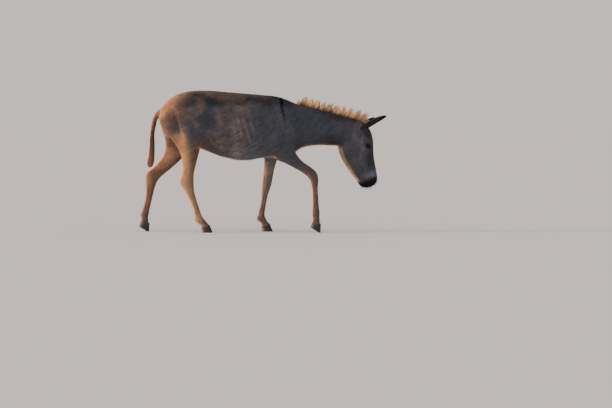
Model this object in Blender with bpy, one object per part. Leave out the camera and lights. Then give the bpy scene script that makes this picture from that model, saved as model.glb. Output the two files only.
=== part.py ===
"""A life-size donkey in mid-walk, head low, as a still museum model.

The flesh is modelled whole: lofts for the trunk, neck, head and legs, run together by a voxel
remesh, then swollen and hollowed where muscle and bone show. Thin cuts part it where a person
would name its parts. Ears, eyes, mane, tail and hooves are made on their own, and meet the
flesh with a hair-thin gap.

Metres, +Z up. The donkey faces +X and its right side is at -Y. It stands on z = 0, and
x = y = 0 is the middle of its bounding box.
"""

import math

import bmesh
import bpy
import numpy as np
from mathutils import Matrix, Vector

# ---------------------------------------------------------------- driving sizes
GAP = 0.0003  # clearance between neighbours
FLESH_SIDES = 24  # points round a loft of flesh
FLESH_STEPS = 4  # rings made between two of its stations
VOXEL = 0.008  # grid on which the flesh runs together
FLESH_TRIANGLES = 5000  # of the whole flesh, before the cuts

EYE = Vector((0.889, 0.071, 0.716))  # centre of the left eyeball
EYE_RADIUS = 0.0215
EAR_ROOT = Vector((0.842, 0.050, 0.880))  # of the left ear, inside the head
EAR_LENGTH = 0.232
EAR_HALF_WIDTH = 0.034
EAR_WALL = 0.0055
MANE_HEIGHT = 0.088
MANE_HALF_WIDTH = 0.017
LOCK_SPACING = 0.055  # of the mane's clumps, along the crest
HIND_SPREAD = 0.118  # of a hind foot from the middle plane
FORE_SPREAD = 0.105
HOOF_HALF_WIDTH = 0.036
CORONET_HALF_WIDTH = 0.0315

HEAD_STARTS = 0.68  # x past which the smoothing goes easy on the small forms of the head
LEGS_START = 0.60  # z below which it goes easy on the slender legs

COLOURS = {
    "coat": ((0.105, 0.078, 0.062, 1), 0.85),
    "ear": ((0.120, 0.090, 0.070, 1), 0.85),
    "mane": ((0.230, 0.115, 0.055, 1), 0.80),
    "tail": ((0.150, 0.085, 0.050, 1), 0.80),
    "hoof": ((0.030, 0.028, 0.027, 1), 0.50),
    "eye": ((0.012, 0.008, 0.006, 1), 0.08),
}


# ---------------------------------------------------------------- general tools
def clear_scene():
    for obj in list(bpy.data.objects):
        bpy.data.objects.remove(obj)


def material(name):
    found = bpy.data.materials.get(name)
    if found:
        return found
    colour, roughness = COLOURS[name]
    made = bpy.data.materials.new(name)
    made.use_nodes = True
    shader = made.node_tree.nodes["Principled BSDF"]
    shader.inputs["Base Color"].default_value = colour
    shader.inputs["Roughness"].default_value = roughness
    shader.inputs["Metallic"].default_value = 0.0
    return made


def object_of(name, bm, finish):
    """Makes an object of a bmesh, which it frees."""
    bmesh.ops.recalc_face_normals(bm, faces=bm.faces)
    mesh = bpy.data.meshes.new(name)
    bm.to_mesh(mesh)
    bm.free()
    mesh.materials.append(material(finish))
    obj = bpy.data.objects.new(name, mesh)
    bpy.context.scene.collection.objects.link(obj)
    return obj


def bake_modifiers(obj):
    """Replaces the object's mesh by the one its modifiers give."""
    graph = bpy.context.evaluated_depsgraph_get()
    mesh = bpy.data.meshes.new_from_object(obj.evaluated_get(graph))
    obj.modifiers.clear()
    obj.data = mesh


def copy_of(obj, name):
    made = bpy.data.objects.new(name, obj.data.copy())
    bpy.context.scene.collection.objects.link(made)
    return made


def boolean(obj, other, operation):
    modifier = obj.modifiers.new(operation.lower(), "BOOLEAN")
    modifier.object = other
    modifier.operation = operation
    modifier.solver = "EXACT"
    bake_modifiers(obj)


def grown(obj, by=GAP):
    """A copy of a solid that stands out from it by a small distance, as a cutter."""
    made = copy_of(obj, obj.name + "_grown")
    swell = made.modifiers.new("swell", "DISPLACE")
    swell.strength = by
    swell.mid_level = 0.0
    bake_modifiers(made)
    return made


def cut_clear(obj, *neighbours):
    """Trims obj so that it meets each neighbour with the gap between them."""
    for neighbour in neighbours:
        cutter = grown(neighbour)
        boolean(obj, cutter, "DIFFERENCE")
        bpy.data.objects.remove(cutter)


# ---------------------------------------------------------------- lofts
def between(a, b, c, d, t):
    """Catmull-Rom blend of four numbers or vectors, from b at t = 0 to c at t = 1."""
    return 0.5 * (
        2 * b
        + (c - a) * t
        + (2 * a - 5 * b + 4 * c - d) * t * t
        + (3 * b - a - 3 * c + d) * t**3
    )


def filled(stations, steps):
    """Rows of values with smooth rows put between them."""
    ends = [stations[0], *stations, stations[-1]]
    for i in range(len(stations) - 1):
        for step in range(steps):
            yield [between(*four, step / steps) for four in zip(*ends[i : i + 4])]
    yield list(stations[-1])


def ring(first, second, half_width, y=0.0, egg=0.0, square=2.2):
    """One station of a loft: its two edges as (x, z) in the side view, and half its width.

    egg widens the section towards the first edge when it is above 0, and towards the second
    when it is below. square is the exponent of its superellipse.
    """
    return Vector((first[0], y, first[1])), Vector((second[0], y, second[1])), half_width, egg, square


def outline(first, second, half_width, egg, square, sides):
    centre, reach = (first + second) / 2, (first - second) / 2
    for i in range(sides):
        angle = math.tau * i / sides
        along = math.copysign(abs(math.cos(angle)) ** (2 / square), math.cos(angle))
        across = math.copysign(abs(math.sin(angle)) ** (2 / square), math.sin(angle))
        yield centre + reach * along + Vector((0, across * half_width * (1 + egg * along), 0))


def join_loops(bm, loops):
    """Joins closed rows of points with quads and caps both ends."""
    rows = [[bm.verts.new(point) for point in loop] for loop in loops]
    sides = len(rows[0])
    for low, high in zip(rows, rows[1:]):
        for i in range(sides):
            j = (i + 1) % sides
            bm.faces.new((low[i], low[j], high[j], high[i]))
    bm.faces.new(rows[0])
    bm.faces.new(reversed(rows[-1]))


def loft(bm, rings, sides=FLESH_SIDES, steps=FLESH_STEPS):
    join_loops(bm, [list(outline(*values, sides)) for values in filled(rings, steps)])


# ---------------------------------------------------------------- main forms of the flesh
def trunk_forms(bm):
    """Croup, barrel and chest: x, the back, the belly, half the width, and the egg shape."""
    stations = [
        (-0.850, 1.020, 0.915, 0.055, 0.00),
        (-0.815, 1.078, 0.840, 0.115, 0.00),
        (-0.735, 1.143, 0.775, 0.162, -0.05),
        (-0.610, 1.184, 0.735, 0.184, -0.08),
        (-0.445, 1.190, 0.672, 0.198, -0.12),
        (-0.290, 1.178, 0.617, 0.214, -0.16),
        (-0.130, 1.165, 0.604, 0.216, -0.20),
        (0.020, 1.153, 0.620, 0.198, -0.28),
        (0.130, 1.141, 0.628, 0.172, -0.36),
        (0.225, 1.110, 0.640, 0.146, -0.28),
        (0.300, 1.075, 0.680, 0.110, -0.10),
    ]
    loft(bm, [ring((x, top), (x, low), half, egg=egg) for x, top, low, half, egg in stations])


def neck_forms(bm):
    """First edge: the crest. Second edge: the throat."""
    loft(
        bm,
        [
            ring((0.130, 1.120), (0.200, 0.690), 0.128, egg=-0.34),
            ring((0.290, 1.082), (0.322, 0.700), 0.112, egg=-0.30),
            ring((0.390, 1.053), (0.397, 0.720), 0.094, egg=-0.28),
            ring((0.500, 1.024), (0.500, 0.726), 0.080, egg=-0.22),
            ring((0.610, 0.997), (0.600, 0.722), 0.072, egg=-0.15),
            ring((0.710, 0.968), (0.670, 0.724), 0.070, egg=-0.05),
            ring((0.790, 0.938), (0.730, 0.750), 0.062),
        ],
    )


def head_forms(bm):
    """First edge: forehead and nose. Second edge: the jaw."""
    loft(
        bm,
        [
            ring((0.832, 0.938), (0.735, 0.918), 0.040),
            ring((0.884, 0.894), (0.700, 0.850), 0.068, egg=0.05),
            ring((0.920, 0.842), (0.672, 0.780), 0.085, egg=0.12, square=2.4),
            ring((0.938, 0.770), (0.646, 0.708), 0.094, egg=0.16, square=2.5),
            ring((0.940, 0.705), (0.656, 0.650), 0.091, egg=0.15, square=2.6),
            ring((0.944, 0.635), (0.688, 0.588), 0.074, egg=0.02, square=2.6),
            ring((0.955, 0.570), (0.726, 0.532), 0.060, egg=-0.06, square=2.5),
            ring((0.967, 0.508), (0.762, 0.476), 0.053, egg=-0.04, square=2.4),
            ring((0.973, 0.456), (0.798, 0.434), 0.055, egg=0.10, square=2.3),
            ring((0.965, 0.416), (0.820, 0.402), 0.053, egg=0.08, square=2.2),
            ring((0.936, 0.386), (0.843, 0.382), 0.040, square=2.1),
            ring((0.905, 0.374), (0.868, 0.373), 0.018, square=2.0),
        ],
    )


def hind_right(bm):
    """The hind leg that reaches forward, flat on its hoof. First edge: the front."""
    y = -HIND_SPREAD
    loft(
        bm,
        [
            ring((-0.480, 1.060), (-0.770, 1.070), 0.070, y=-0.092),
            ring((-0.455, 0.900), (-0.853, 0.945), 0.085, y=-0.105),
            ring((-0.475, 0.795), (-0.812, 0.860), 0.082, y=-0.112),
            ring((-0.503, 0.715), (-0.742, 0.768), 0.066, y=-0.118),
            ring((-0.526, 0.635), (-0.684, 0.670), 0.047, y=y),
            ring((-0.548, 0.555), (-0.662, 0.570), 0.036, y=y),
            ring((-0.563, 0.480), (-0.666, 0.485), 0.030, y=y),
            ring((-0.563, 0.415), (-0.682, 0.415), 0.034, y=y),
            ring((-0.560, 0.350), (-0.646, 0.352), 0.033, y=y),
            ring((-0.545, 0.292), (-0.608, 0.278), 0.025, y=y),
            ring((-0.522, 0.218), (-0.577, 0.202), 0.022, y=y),
            ring((-0.500, 0.152), (-0.560, 0.132), 0.025, y=y),
            ring((-0.483, 0.120), (-0.548, 0.095), 0.030, y=y),
            ring((-0.462, 0.098), (-0.514, 0.068), 0.026, y=y),
            ring((-0.438, 0.062), (-0.498, 0.038), 0.029, y=y),
            ring((-0.434, 0.046), (-0.494, 0.022), 0.024, y=y),
        ],
    )


def hind_left(bm):
    """The hind leg that pushes off behind, heel up on its toe. First edge: the front."""
    y = HIND_SPREAD
    loft(
        bm,
        [
            ring((-0.480, 1.060), (-0.770, 1.070), 0.070, y=0.092),
            ring((-0.470, 0.900), (-0.854, 0.945), 0.085, y=0.105),
            ring((-0.520, 0.780), (-0.840, 0.850), 0.082, y=0.112),
            ring((-0.590, 0.690), (-0.815, 0.765), 0.066, y=0.118),
            ring((-0.672, 0.612), (-0.815, 0.682), 0.048, y=y),
            ring((-0.750, 0.540), (-0.843, 0.618), 0.038, y=y),
            ring((-0.822, 0.482), (-0.902, 0.548), 0.031, y=y),
            ring((-0.872, 0.432), (-0.970, 0.492), 0.034, y=y),
            ring((-0.898, 0.372), (-0.976, 0.405), 0.033, y=y),
            ring((-0.915, 0.308), (-0.976, 0.318), 0.026, y=y),
            ring((-0.932, 0.235), (-0.988, 0.242), 0.022, y=y),
            ring((-0.945, 0.180), (-1.008, 0.180), 0.025, y=y),
            ring((-0.950, 0.150), (-1.018, 0.145), 0.030, y=y),
            ring((-0.956, 0.118), (-1.012, 0.108), 0.026, y=y),
            ring((-0.951, 0.070), (-1.014, 0.080), 0.029, y=y),
            ring((-0.950, 0.050), (-1.012, 0.059), 0.024, y=y),
        ],
    )


def fore_right(bm):
    """The foreleg that swings forward, knee bent, toe down. First edge: the front."""
    y = -FORE_SPREAD
    loft(
        bm,
        [
            ring((0.215, 0.860), (0.060, 0.730), 0.050, y=-0.095),
            ring((0.262, 0.760), (0.105, 0.622), 0.055, y=-0.100),
            ring((0.290, 0.672), (0.200, 0.578), 0.048, y=y),
            ring((0.345, 0.598), (0.288, 0.532), 0.038, y=y),
            ring((0.408, 0.555), (0.358, 0.490), 0.033, y=y),
            ring((0.462, 0.505), (0.400, 0.450), 0.035, y=y),
            ring((0.479, 0.445), (0.414, 0.418), 0.032, y=y),
            ring((0.475, 0.380), (0.424, 0.370), 0.024, y=y),
            ring((0.478, 0.290), (0.429, 0.290), 0.021, y=y),
            ring((0.484, 0.212), (0.429, 0.208), 0.024, y=y),
            ring((0.490, 0.172), (0.424, 0.166), 0.029, y=y),
            ring((0.490, 0.128), (0.436, 0.120), 0.025, y=y),
            ring((0.493, 0.074), (0.433, 0.084), 0.029, y=y),
            ring((0.494, 0.054), (0.434, 0.064), 0.024, y=y),
        ],
    )


def fore_left(bm):
    """The foreleg that bears weight, flat on its hoof. First edge: the front."""
    y = FORE_SPREAD
    loft(
        bm,
        [
            ring((0.200, 0.820), (0.020, 0.800), 0.052, y=0.095),
            ring((0.172, 0.715), (0.012, 0.705), 0.055, y=0.100),
            ring((0.140, 0.625), (0.020, 0.625), 0.048, y=y),
            ring((0.114, 0.545), (0.018, 0.540), 0.038, y=y),
            ring((0.097, 0.468), (0.012, 0.460), 0.033, y=y),
            ring((0.086, 0.405), (0.003, 0.392), 0.035, y=y),
            ring((0.068, 0.348), (0.000, 0.335), 0.031, y=y),
            ring((0.051, 0.290), (-0.002, 0.280), 0.023, y=y),
            ring((0.037, 0.222), (-0.014, 0.212), 0.021, y=y),
            ring((0.028, 0.162), (-0.030, 0.148), 0.024, y=y),
            ring((0.028, 0.130), (-0.036, 0.108), 0.029, y=y),
            ring((0.042, 0.102), (-0.010, 0.074), 0.025, y=y),
            ring((0.062, 0.064), (0.002, 0.040), 0.029, y=y),
            ring((0.066, 0.048), (0.006, 0.024), 0.024, y=y),
        ],
    )


# ---------------------------------------------------------------- muscle and bone
# Each swelling is an ellipsoid of influence on both sides of the body: its centre, its radii,
# how far it moves the skin at the middle (inwards below 0), and how many degrees its +X end is
# lifted. Where the sign of y is given as RIGHT or LEFT, only that side is moved.
BOTH, RIGHT, LEFT = (1, -1), (-1,), (1,)
SWELLINGS = (
    # hindquarters
    ((-0.650, 0.120, 1.090), (0.200, 0.110, 0.130), 0.016, 8, BOTH),  # gluteals
    ((-0.470, 0.160, 1.080), (0.105, 0.095, 0.080), 0.013, -25, BOTH),  # point of hip
    ((-0.835, 0.070, 0.960), (0.070, 0.070, 0.090), 0.012, 0, BOTH),  # point of buttock
    ((-0.850, 0.000, 0.880), (0.060, 0.028, 0.120), -0.022, 0, (1,)),  # cleft under the tail
    ((-0.400, 0.190, 0.960), (0.085, 0.080, 0.150), -0.016, 25, BOTH),  # hollow of the flank
    ((-0.560, 0.190, 0.880), (0.120, 0.090, 0.150), 0.014, 0, BOTH),  # front of the thigh
    ((-0.705, 0.180, 0.900), (0.028, 0.090, 0.170), -0.008, 12, BOTH),  # groove in the thigh
    ((-0.520, -0.150, 0.755), (0.060, 0.070, 0.070), 0.012, 0, RIGHT),  # stifle
    ((-0.575, 0.150, 0.745), (0.060, 0.070, 0.070), 0.012, 0, LEFT),
    # forequarters
    ((0.175, 0.120, 0.960), (0.085, 0.090, 0.210), 0.017, -66 + 90, BOTH),  # shoulder blade
    ((0.045, 0.170, 0.900), (0.055, 0.090, 0.200), -0.010, 12, BOTH),  # hollow behind it
    ((0.120, 0.150, 0.790), (0.130, 0.090, 0.110), 0.020, -20, BOTH),  # triceps
    ((0.265, 0.115, 0.800), (0.070, 0.070, 0.080), 0.018, 0, BOTH),  # point of shoulder
    ((0.300, 0.120, 0.930), (0.070, 0.080, 0.120), -0.010, 20, BOTH),  # hollow before it
    ((0.290, 0.050, 0.715), (0.070, 0.050, 0.070), 0.014, 0, BOTH),  # breast
    ((0.320, 0.000, 0.715), (0.060, 0.018, 0.080), -0.008, 0, (1,)),  # groove of the breast
    ((0.095, -0.140, 0.665), (0.050, 0.050, 0.050), 0.012, 0, RIGHT),  # point of elbow
    ((0.025, 0.140, 0.700), (0.050, 0.050, 0.050), 0.012, 0, LEFT),
    # neck
    ((0.440, 0.085, 0.850), (0.240, 0.060, 0.065), 0.010, -10, BOTH),  # muscle to the jaw
    ((0.470, 0.075, 0.785), (0.260, 0.060, 0.040), -0.005, -2, BOTH),  # groove of the throat
    ((0.560, 0.060, 0.960), (0.200, 0.050, 0.045), 0.006, -14, BOTH),  # under the crest
    # head
    ((0.728, 0.085, 0.712), (0.085, 0.060, 0.100), 0.013, 30, BOTH),  # cheek
    ((0.862, 0.088, 0.762), (0.060, 0.045, 0.028), 0.013, 35, BOTH),  # brow
    ((0.862, 0.090, 0.682), (0.060, 0.040, 0.024), 0.008, 50, BOTH),  # bone below the eye
    ((0.830, 0.075, 0.815), (0.032, 0.035, 0.034), -0.009, 0, BOTH),  # hollow above the eye
    ((0.848, 0.075, 0.620), (0.022, 0.040, 0.085), 0.007, -16, BOTH),  # ridge of the face
    ((0.905, 0.052, 0.560), (0.030, 0.035, 0.080), -0.006, -8, BOTH),  # beside the nose
    ((0.805, 0.060, 0.530), (0.045, 0.040, 0.060), -0.006, -25, BOTH),  # before the cheek
    ((0.945, 0.045, 0.450), (0.034, 0.032, 0.040), 0.010, 0, BOTH),  # nostril
    ((0.842, 0.000, 0.400), (0.038, 0.045, 0.030), 0.008, 0, (1,)),  # chin
    ((0.842, 0.052, 0.895), (0.045, 0.042, 0.042), 0.016, 0, BOTH),  # root of the ear
    ((0.760, 0.045, 0.560), (0.110, 0.022, 0.030), 0.004, -60, BOTH),  # edge of the jaw
)


def swell(mesh):
    """Moves the mesh along its normals by the swellings, each fading out smoothly."""
    count = len(mesh.vertices)
    places, normals = np.empty(count * 3), np.empty(count * 3)
    mesh.vertices.foreach_get("co", places)
    mesh.vertices.foreach_get("normal", normals)
    places, normals = places.reshape(-1, 3), normals.reshape(-1, 3)
    travel = np.zeros(count)
    for centre, radii, height, lift, sides in SWELLINGS:
        turn = np.array(Matrix.Rotation(math.radians(lift), 3, "Y"))
        for side in sides:
            offset = places - np.array((centre[0], side * abs(centre[1]), centre[2]))
            reach = ((offset @ turn.T) / radii) ** 2
            travel += height * np.clip(1 - reach.sum(axis=1), 0, None) ** 2
    moved = places + normals * travel[:, None]
    mesh.vertices.foreach_set("co", moved.ravel())
    mesh.update()


def smoothing_of(place):
    """How strongly the flesh is smoothed: fully on the trunk, lightly on the head and legs."""
    if place.x > HEAD_STARTS or place.z < LEGS_START:
        return 0.25
    return 1.0


def flesh():
    bm = bmesh.new()
    for forms in (trunk_forms, neck_forms, head_forms, hind_right, hind_left, fore_right, fore_left):
        forms(bm)
    obj = object_of("flesh", bm, "coat")
    remesh = obj.modifiers.new("run_together", "REMESH")
    remesh.mode = "VOXEL"
    remesh.voxel_size = VOXEL
    bake_modifiers(obj)
    group = obj.vertex_groups.new(name="ease")
    for vertex in obj.data.vertices:
        group.add([vertex.index], smoothing_of(vertex.co), "REPLACE")
    smooth = obj.modifiers.new("ease", "SMOOTH")
    smooth.factor = 0.5
    smooth.iterations = 22
    smooth.vertex_group = group.name
    bake_modifiers(obj)
    swell(obj.data)
    thin = obj.modifiers.new("thin_out", "DECIMATE")
    thin.ratio = FLESH_TRIANGLES / (2 * len(obj.data.polygons))
    bake_modifiers(obj)
    return obj


# ---------------------------------------------------------------- cuts
def prism(name, side_view, low, high):
    """A cutter: an outline in the side view, reaching from y = low to y = high."""
    bm = bmesh.new()
    near = [bm.verts.new((x, low, z)) for x, z in side_view]
    face = bm.faces.new(near)
    grew = bmesh.ops.extrude_face_region(bm, geom=[face])
    lifted = [v for v in grew["geom"] if isinstance(v, bmesh.types.BMVert)]
    bmesh.ops.translate(bm, verts=lifted, vec=(0, high - low, 0))
    return object_of(name, bm, "coat")


def part_off(body, name, side_view, low=-0.4, high=0.4, finish="coat"):
    """Cuts what lies inside a prism off the body, as a piece of its own, a gap away from it."""
    inside = prism(name + "_cutter", side_view, low, high)
    outside = grown(inside, 2 * GAP)
    piece = copy_of(body, name)
    boolean(piece, inside, "INTERSECT")
    boolean(body, outside, "DIFFERENCE")
    bpy.data.objects.remove(inside)
    bpy.data.objects.remove(outside)
    piece.data.materials.clear()
    piece.data.materials.append(material(finish))
    return piece


FLOOR = -0.05  # a level safely below the feet, for the cutters' outlines
CUTS = (
    # name, outline in the side view, side of the body
    (
        "thigh_right",
        ((-0.500, 0.716), (-0.900, 0.896), (-0.900, FLOOR), (-0.350, FLOOR), (-0.350, 0.350)),
        RIGHT,
    ),
    (
        "thigh_left",
        ((-0.568, 0.722), (-0.900, 0.908), (-1.150, 0.700), (-1.150, FLOOR), (-0.568, FLOOR)),
        LEFT,
    ),
    (
        "forearm_right",
        ((0.140, 0.592), (0.300, 0.660), (0.600, 0.660), (0.600, FLOOR), (0.140, FLOOR)),
        RIGHT,
    ),
    (
        "forearm_left",
        ((-0.100, 0.586), (0.250, 0.594), (0.250, FLOOR), (-0.100, FLOOR)),
        LEFT,
    ),
    (
        "head",
        ((0.800, 0.993), (0.547, 0.574), (0.690, 0.300), (1.100, 0.300), (1.100, 0.993)),
        BOTH,
    ),
    (
        "neck",
        ((0.210, 1.220), (0.336, 0.692), (0.900, 0.720), (0.900, 1.220)),
        BOTH,
    ),
)
LOWER_CUTS = {
    "thigh_right": ("hind_cannon_right", ((-0.750, 0.462), (-0.350, 0.446), (-0.350, FLOOR), (-0.750, FLOOR))),
    "thigh_left": ("hind_cannon_left", ((-0.800, 0.385), (-0.975, 0.600), (-1.150, 0.600), (-1.150, FLOOR), (-0.800, FLOOR))),
    "forearm_right": ("fore_cannon_right", ((0.340, 0.424), (0.460, 0.584), (0.600, 0.584), (0.600, FLOOR), (0.340, FLOOR))),
    "forearm_left": ("fore_cannon_left", ((-0.100, 0.418), (0.250, 0.464), (0.250, FLOOR), (-0.100, FLOOR))),
}


def parted(body):
    """Cuts the flesh into named pieces. What is left of it is the trunk."""
    pieces = {}
    for name, side_view, sides in CUTS:
        low = -0.4 if -1 in sides else GAP / 2
        high = 0.4 if 1 in sides else -GAP / 2
        pieces[name] = part_off(body, name, side_view, low, high)
    for upper, (lower, side_view) in LOWER_CUTS.items():
        pieces[lower] = part_off(pieces[upper], lower, side_view)
    body.name = "trunk"
    pieces["trunk"] = body
    return pieces


# ---------------------------------------------------------------- eyes, ears, mane, tail, hooves
def eye(side):
    bm = bmesh.new()
    place = Matrix.Translation((EYE.x, side * EYE.y, EYE.z)) @ Matrix.Rotation(math.pi / 2, 4, "X")
    bmesh.ops.create_uvsphere(bm, u_segments=14, v_segments=8, radius=EYE_RADIUS, matrix=place)
    return object_of("eye_left" if side > 0 else "eye_right", bm, "eye")


def ear(name, side, aim, facing):
    """A curled leaf with an open front: aim is where its tip points and facing is its open side.

    Stations: share of the length, share of the half-width, and half the arc in degrees.
    """
    stations = (
        (0.00, 0.56, 150.0),
        (0.10, 0.70, 132.0),
        (0.26, 0.88, 104.0),
        (0.50, 1.00, 84.0),
        (0.72, 0.92, 70.0),
        (0.88, 0.68, 60.0),
        (0.96, 0.42, 54.0),
        (1.00, 0.16, 48.0),
    )
    arc_points = 8
    aim = Vector(aim).normalized()
    facing = Vector(facing)
    facing = (facing - aim * facing.dot(aim)).normalized()
    across = aim.cross(facing)
    root = Vector((EAR_ROOT.x, side * EAR_ROOT.y, EAR_ROOT.z))
    loops = []
    for share, width, degrees in stations:
        arc = math.radians(degrees)
        radius = EAR_HALF_WIDTH * width / math.sin(min(arc, math.pi / 2))
        spine = root + aim * EAR_LENGTH * share - facing * 0.010 * math.sin(math.pi * share)
        middle = spine + facing * radius * 0.5
        loop = []
        wall = min(EAR_WALL, 0.45 * EAR_HALF_WIDTH * width)
        for reach, sweep in ((radius, 1), (radius - wall, -1)):
            for i in range(arc_points):
                angle = sweep * arc * (2 * i / (arc_points - 1) - 1)
                loop.append(middle + (across * math.sin(angle) - facing * math.cos(angle)) * reach)
        loops.append(loop)
    bm = bmesh.new()
    join_loops(bm, loops)
    return object_of(name, bm, "ear")


CREST = (  # the neck's upper edge in the side view, from the withers to the forehead
    (0.296, 1.080),
    (0.390, 1.053),
    (0.500, 1.024),
    (0.610, 0.997),
    (0.710, 0.968),
    (0.790, 0.942),
    (0.835, 0.925),
    (0.868, 0.898),
)


def mane():
    """A fin along the crest. Its top rises and falls with the clumps of hair."""
    sunk = 0.020
    path = [Vector((x, 0, z)) for x, z in CREST]
    points = [row[0] for row in filled([(p,) for p in path], 4)]
    length = 0.0
    loops = []
    for i, point in enumerate(points):
        ahead = points[min(i + 1, len(points) - 1)] - points[max(i - 1, 0)]
        rise = Vector((-ahead.z, 0, ahead.x)).normalized()
        share = i / (len(points) - 1)
        lean = Vector((0.25 + 0.45 * share**3, 0, 0))
        length += (point - points[max(i - 1, 0)]).length
        wave = 0.90 + 0.10 * math.cos(math.tau * length / LOCK_SPACING)
        height = MANE_HEIGHT * wave * min(1.0, 0.12 + share * 9, 0.72 + (1 - share) * 3)
        foot = point - rise * sunk
        top = point + (rise + lean * share).normalized() * height
        half = Vector((0, MANE_HALF_WIDTH, 0))
        loops.append(
            [foot + half, point + half, top + half * 0.35, top - half * 0.35, point - half, foot - half]
        )
    bm = bmesh.new()
    join_loops(bm, loops)
    return object_of("mane", bm, "mane")


def tail():
    """First edge: the outer side. Second edge: the side next to the buttocks."""
    bm = bmesh.new()
    loft(
        bm,
        [
            ring((-0.815, 1.062), (-0.805, 0.990), 0.030, square=2.0),
            ring((-0.862, 1.030), (-0.842, 0.968), 0.028, square=2.0),
            ring((-0.900, 0.985), (-0.868, 0.945), 0.025, square=2.0),
            ring((-0.925, 0.915), (-0.885, 0.900), 0.022, square=2.0),
            ring((-0.936, 0.830), (-0.894, 0.826), 0.021, square=2.0),
            ring((-0.940, 0.740), (-0.893, 0.738), 0.023, square=2.0),
            ring((-0.948, 0.665), (-0.892, 0.660), 0.027, square=2.0),
            ring((-0.962, 0.605), (-0.896, 0.600), 0.028, square=2.0),
            ring((-0.964, 0.566), (-0.908, 0.560), 0.018, square=2.0),
            ring((-0.950, 0.546), (-0.926, 0.544), 0.008, square=2.0),
        ],
        sides=12,
        steps=2,
    )
    return object_of("tail", bm, "tail")


def hoof(name, y, coronet, sole):
    """A horn box open to the leg above: coronet and sole each give their front and heel."""
    bm = bmesh.new()
    top = ring(*coronet, CORONET_HALF_WIDTH, y=y, egg=-0.06, square=2.4)
    base = ring(*sole, HOOF_HALF_WIDTH, y=y, egg=-0.10, square=2.6)
    loft(bm, [top, base], sides=20, steps=1)
    below = [*bm.verts, *bm.edges, *bm.faces]
    cut = bmesh.ops.bisect_plane(
        bm, geom=below, plane_co=(0, 0, 0), plane_no=(0, 0, -1), clear_outer=True, dist=1e-6
    )
    edges = [e for e in cut["geom_cut"] if isinstance(e, bmesh.types.BMEdge)]
    if any(e.is_boundary for e in edges):
        bmesh.ops.holes_fill(bm, edges=edges)
    return object_of(name, bm, "hoof")


HOOVES = (
    # name, y, coronet's front and heel, sole's front and heel; a raised heel leaves a flat at the toe
    ("hoof_hind_right", -HIND_SPREAD, ((-0.433, 0.066), (-0.503, 0.038)), ((-0.405, 0.0), (-0.497, 0.0))),
    ("hoof_hind_left", HIND_SPREAD, ((-0.946, 0.066), (-1.020, 0.080)), ((-0.948, -0.010), (-1.037, 0.044))),
    ("hoof_fore_right", -FORE_SPREAD, ((0.499, 0.070), (0.427, 0.084)), ((0.498, -0.010), (0.409, 0.044))),
    ("hoof_fore_left", FORE_SPREAD, ((0.068, 0.068), (-0.003, 0.038)), ((0.096, 0.0), (0.003, 0.0))),
)


def centre_on_floor(objects):
    """Moves the meshes so that the middle of their bounding box is at x = y = 0."""
    corners = [vertex.co for obj in objects for vertex in obj.data.vertices]
    middle = [(min(c[i] for c in corners) + max(c[i] for c in corners)) / 2 for i in (0, 1)]
    for obj in objects:
        obj.data.transform(Matrix.Translation((-middle[0], -middle[1], 0)))


def donkey():
    pieces = parted(flesh())
    for side in (1, -1):
        ball = eye(side)
        cut_clear(pieces["head"], ball)
        pieces[ball.name] = ball
    for name, y, coronet, sole in HOOVES:
        pieces[name] = hoof(name, y, coronet, sole)
        leg = name.replace("hoof_", "").replace("_", "_cannon_")
        cut_clear(pieces[leg], pieces[name])
    pieces["ear_right"] = ear("ear_right", -1, aim=(0.90, -0.20, 0.41), facing=(0.25, -0.50, -0.80))
    pieces["ear_left"] = ear("ear_left", 1, aim=(0.48, 0.82, 0.31), facing=(0.75, -0.15, -0.60))
    cut_clear(pieces["ear_right"], pieces["head"])
    cut_clear(pieces["ear_left"], pieces["head"])
    pieces["mane"] = mane()
    cut_clear(pieces["mane"], pieces["trunk"], pieces["neck"], pieces["head"])
    pieces["tail"] = tail()
    cut_clear(pieces["tail"], pieces["trunk"])
    pieces["tail_switch"] = part_off(
        pieces["tail"],
        "tail_switch",
        ((-1.1, 0.702), (-0.8, 0.702), (-0.8, 0.4), (-1.1, 0.4)),
        finish="tail",
    )
    centre_on_floor(list(pieces.values()))
    for obj in pieces.values():
        obj.data.shade_smooth()
        obj.data.set_sharp_from_angle(angle=math.radians(50))


clear_scene()
donkey()
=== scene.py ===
# %% [markdown]
# # A donkey in mid-walk, head low
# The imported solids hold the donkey's true shape. This script dresses them: one skin without
# seams, a coat of small solid tufts, mane, tail and ear hair, eyes with lids, and horn hooves.
# Everything is placed from the solids, so nothing has to be fitted by eye.

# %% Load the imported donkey
import math

import bmesh
import bpy
import numpy as np
from mathutils import Matrix, Vector
from mathutils.bvhtree import BVHTree


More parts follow.
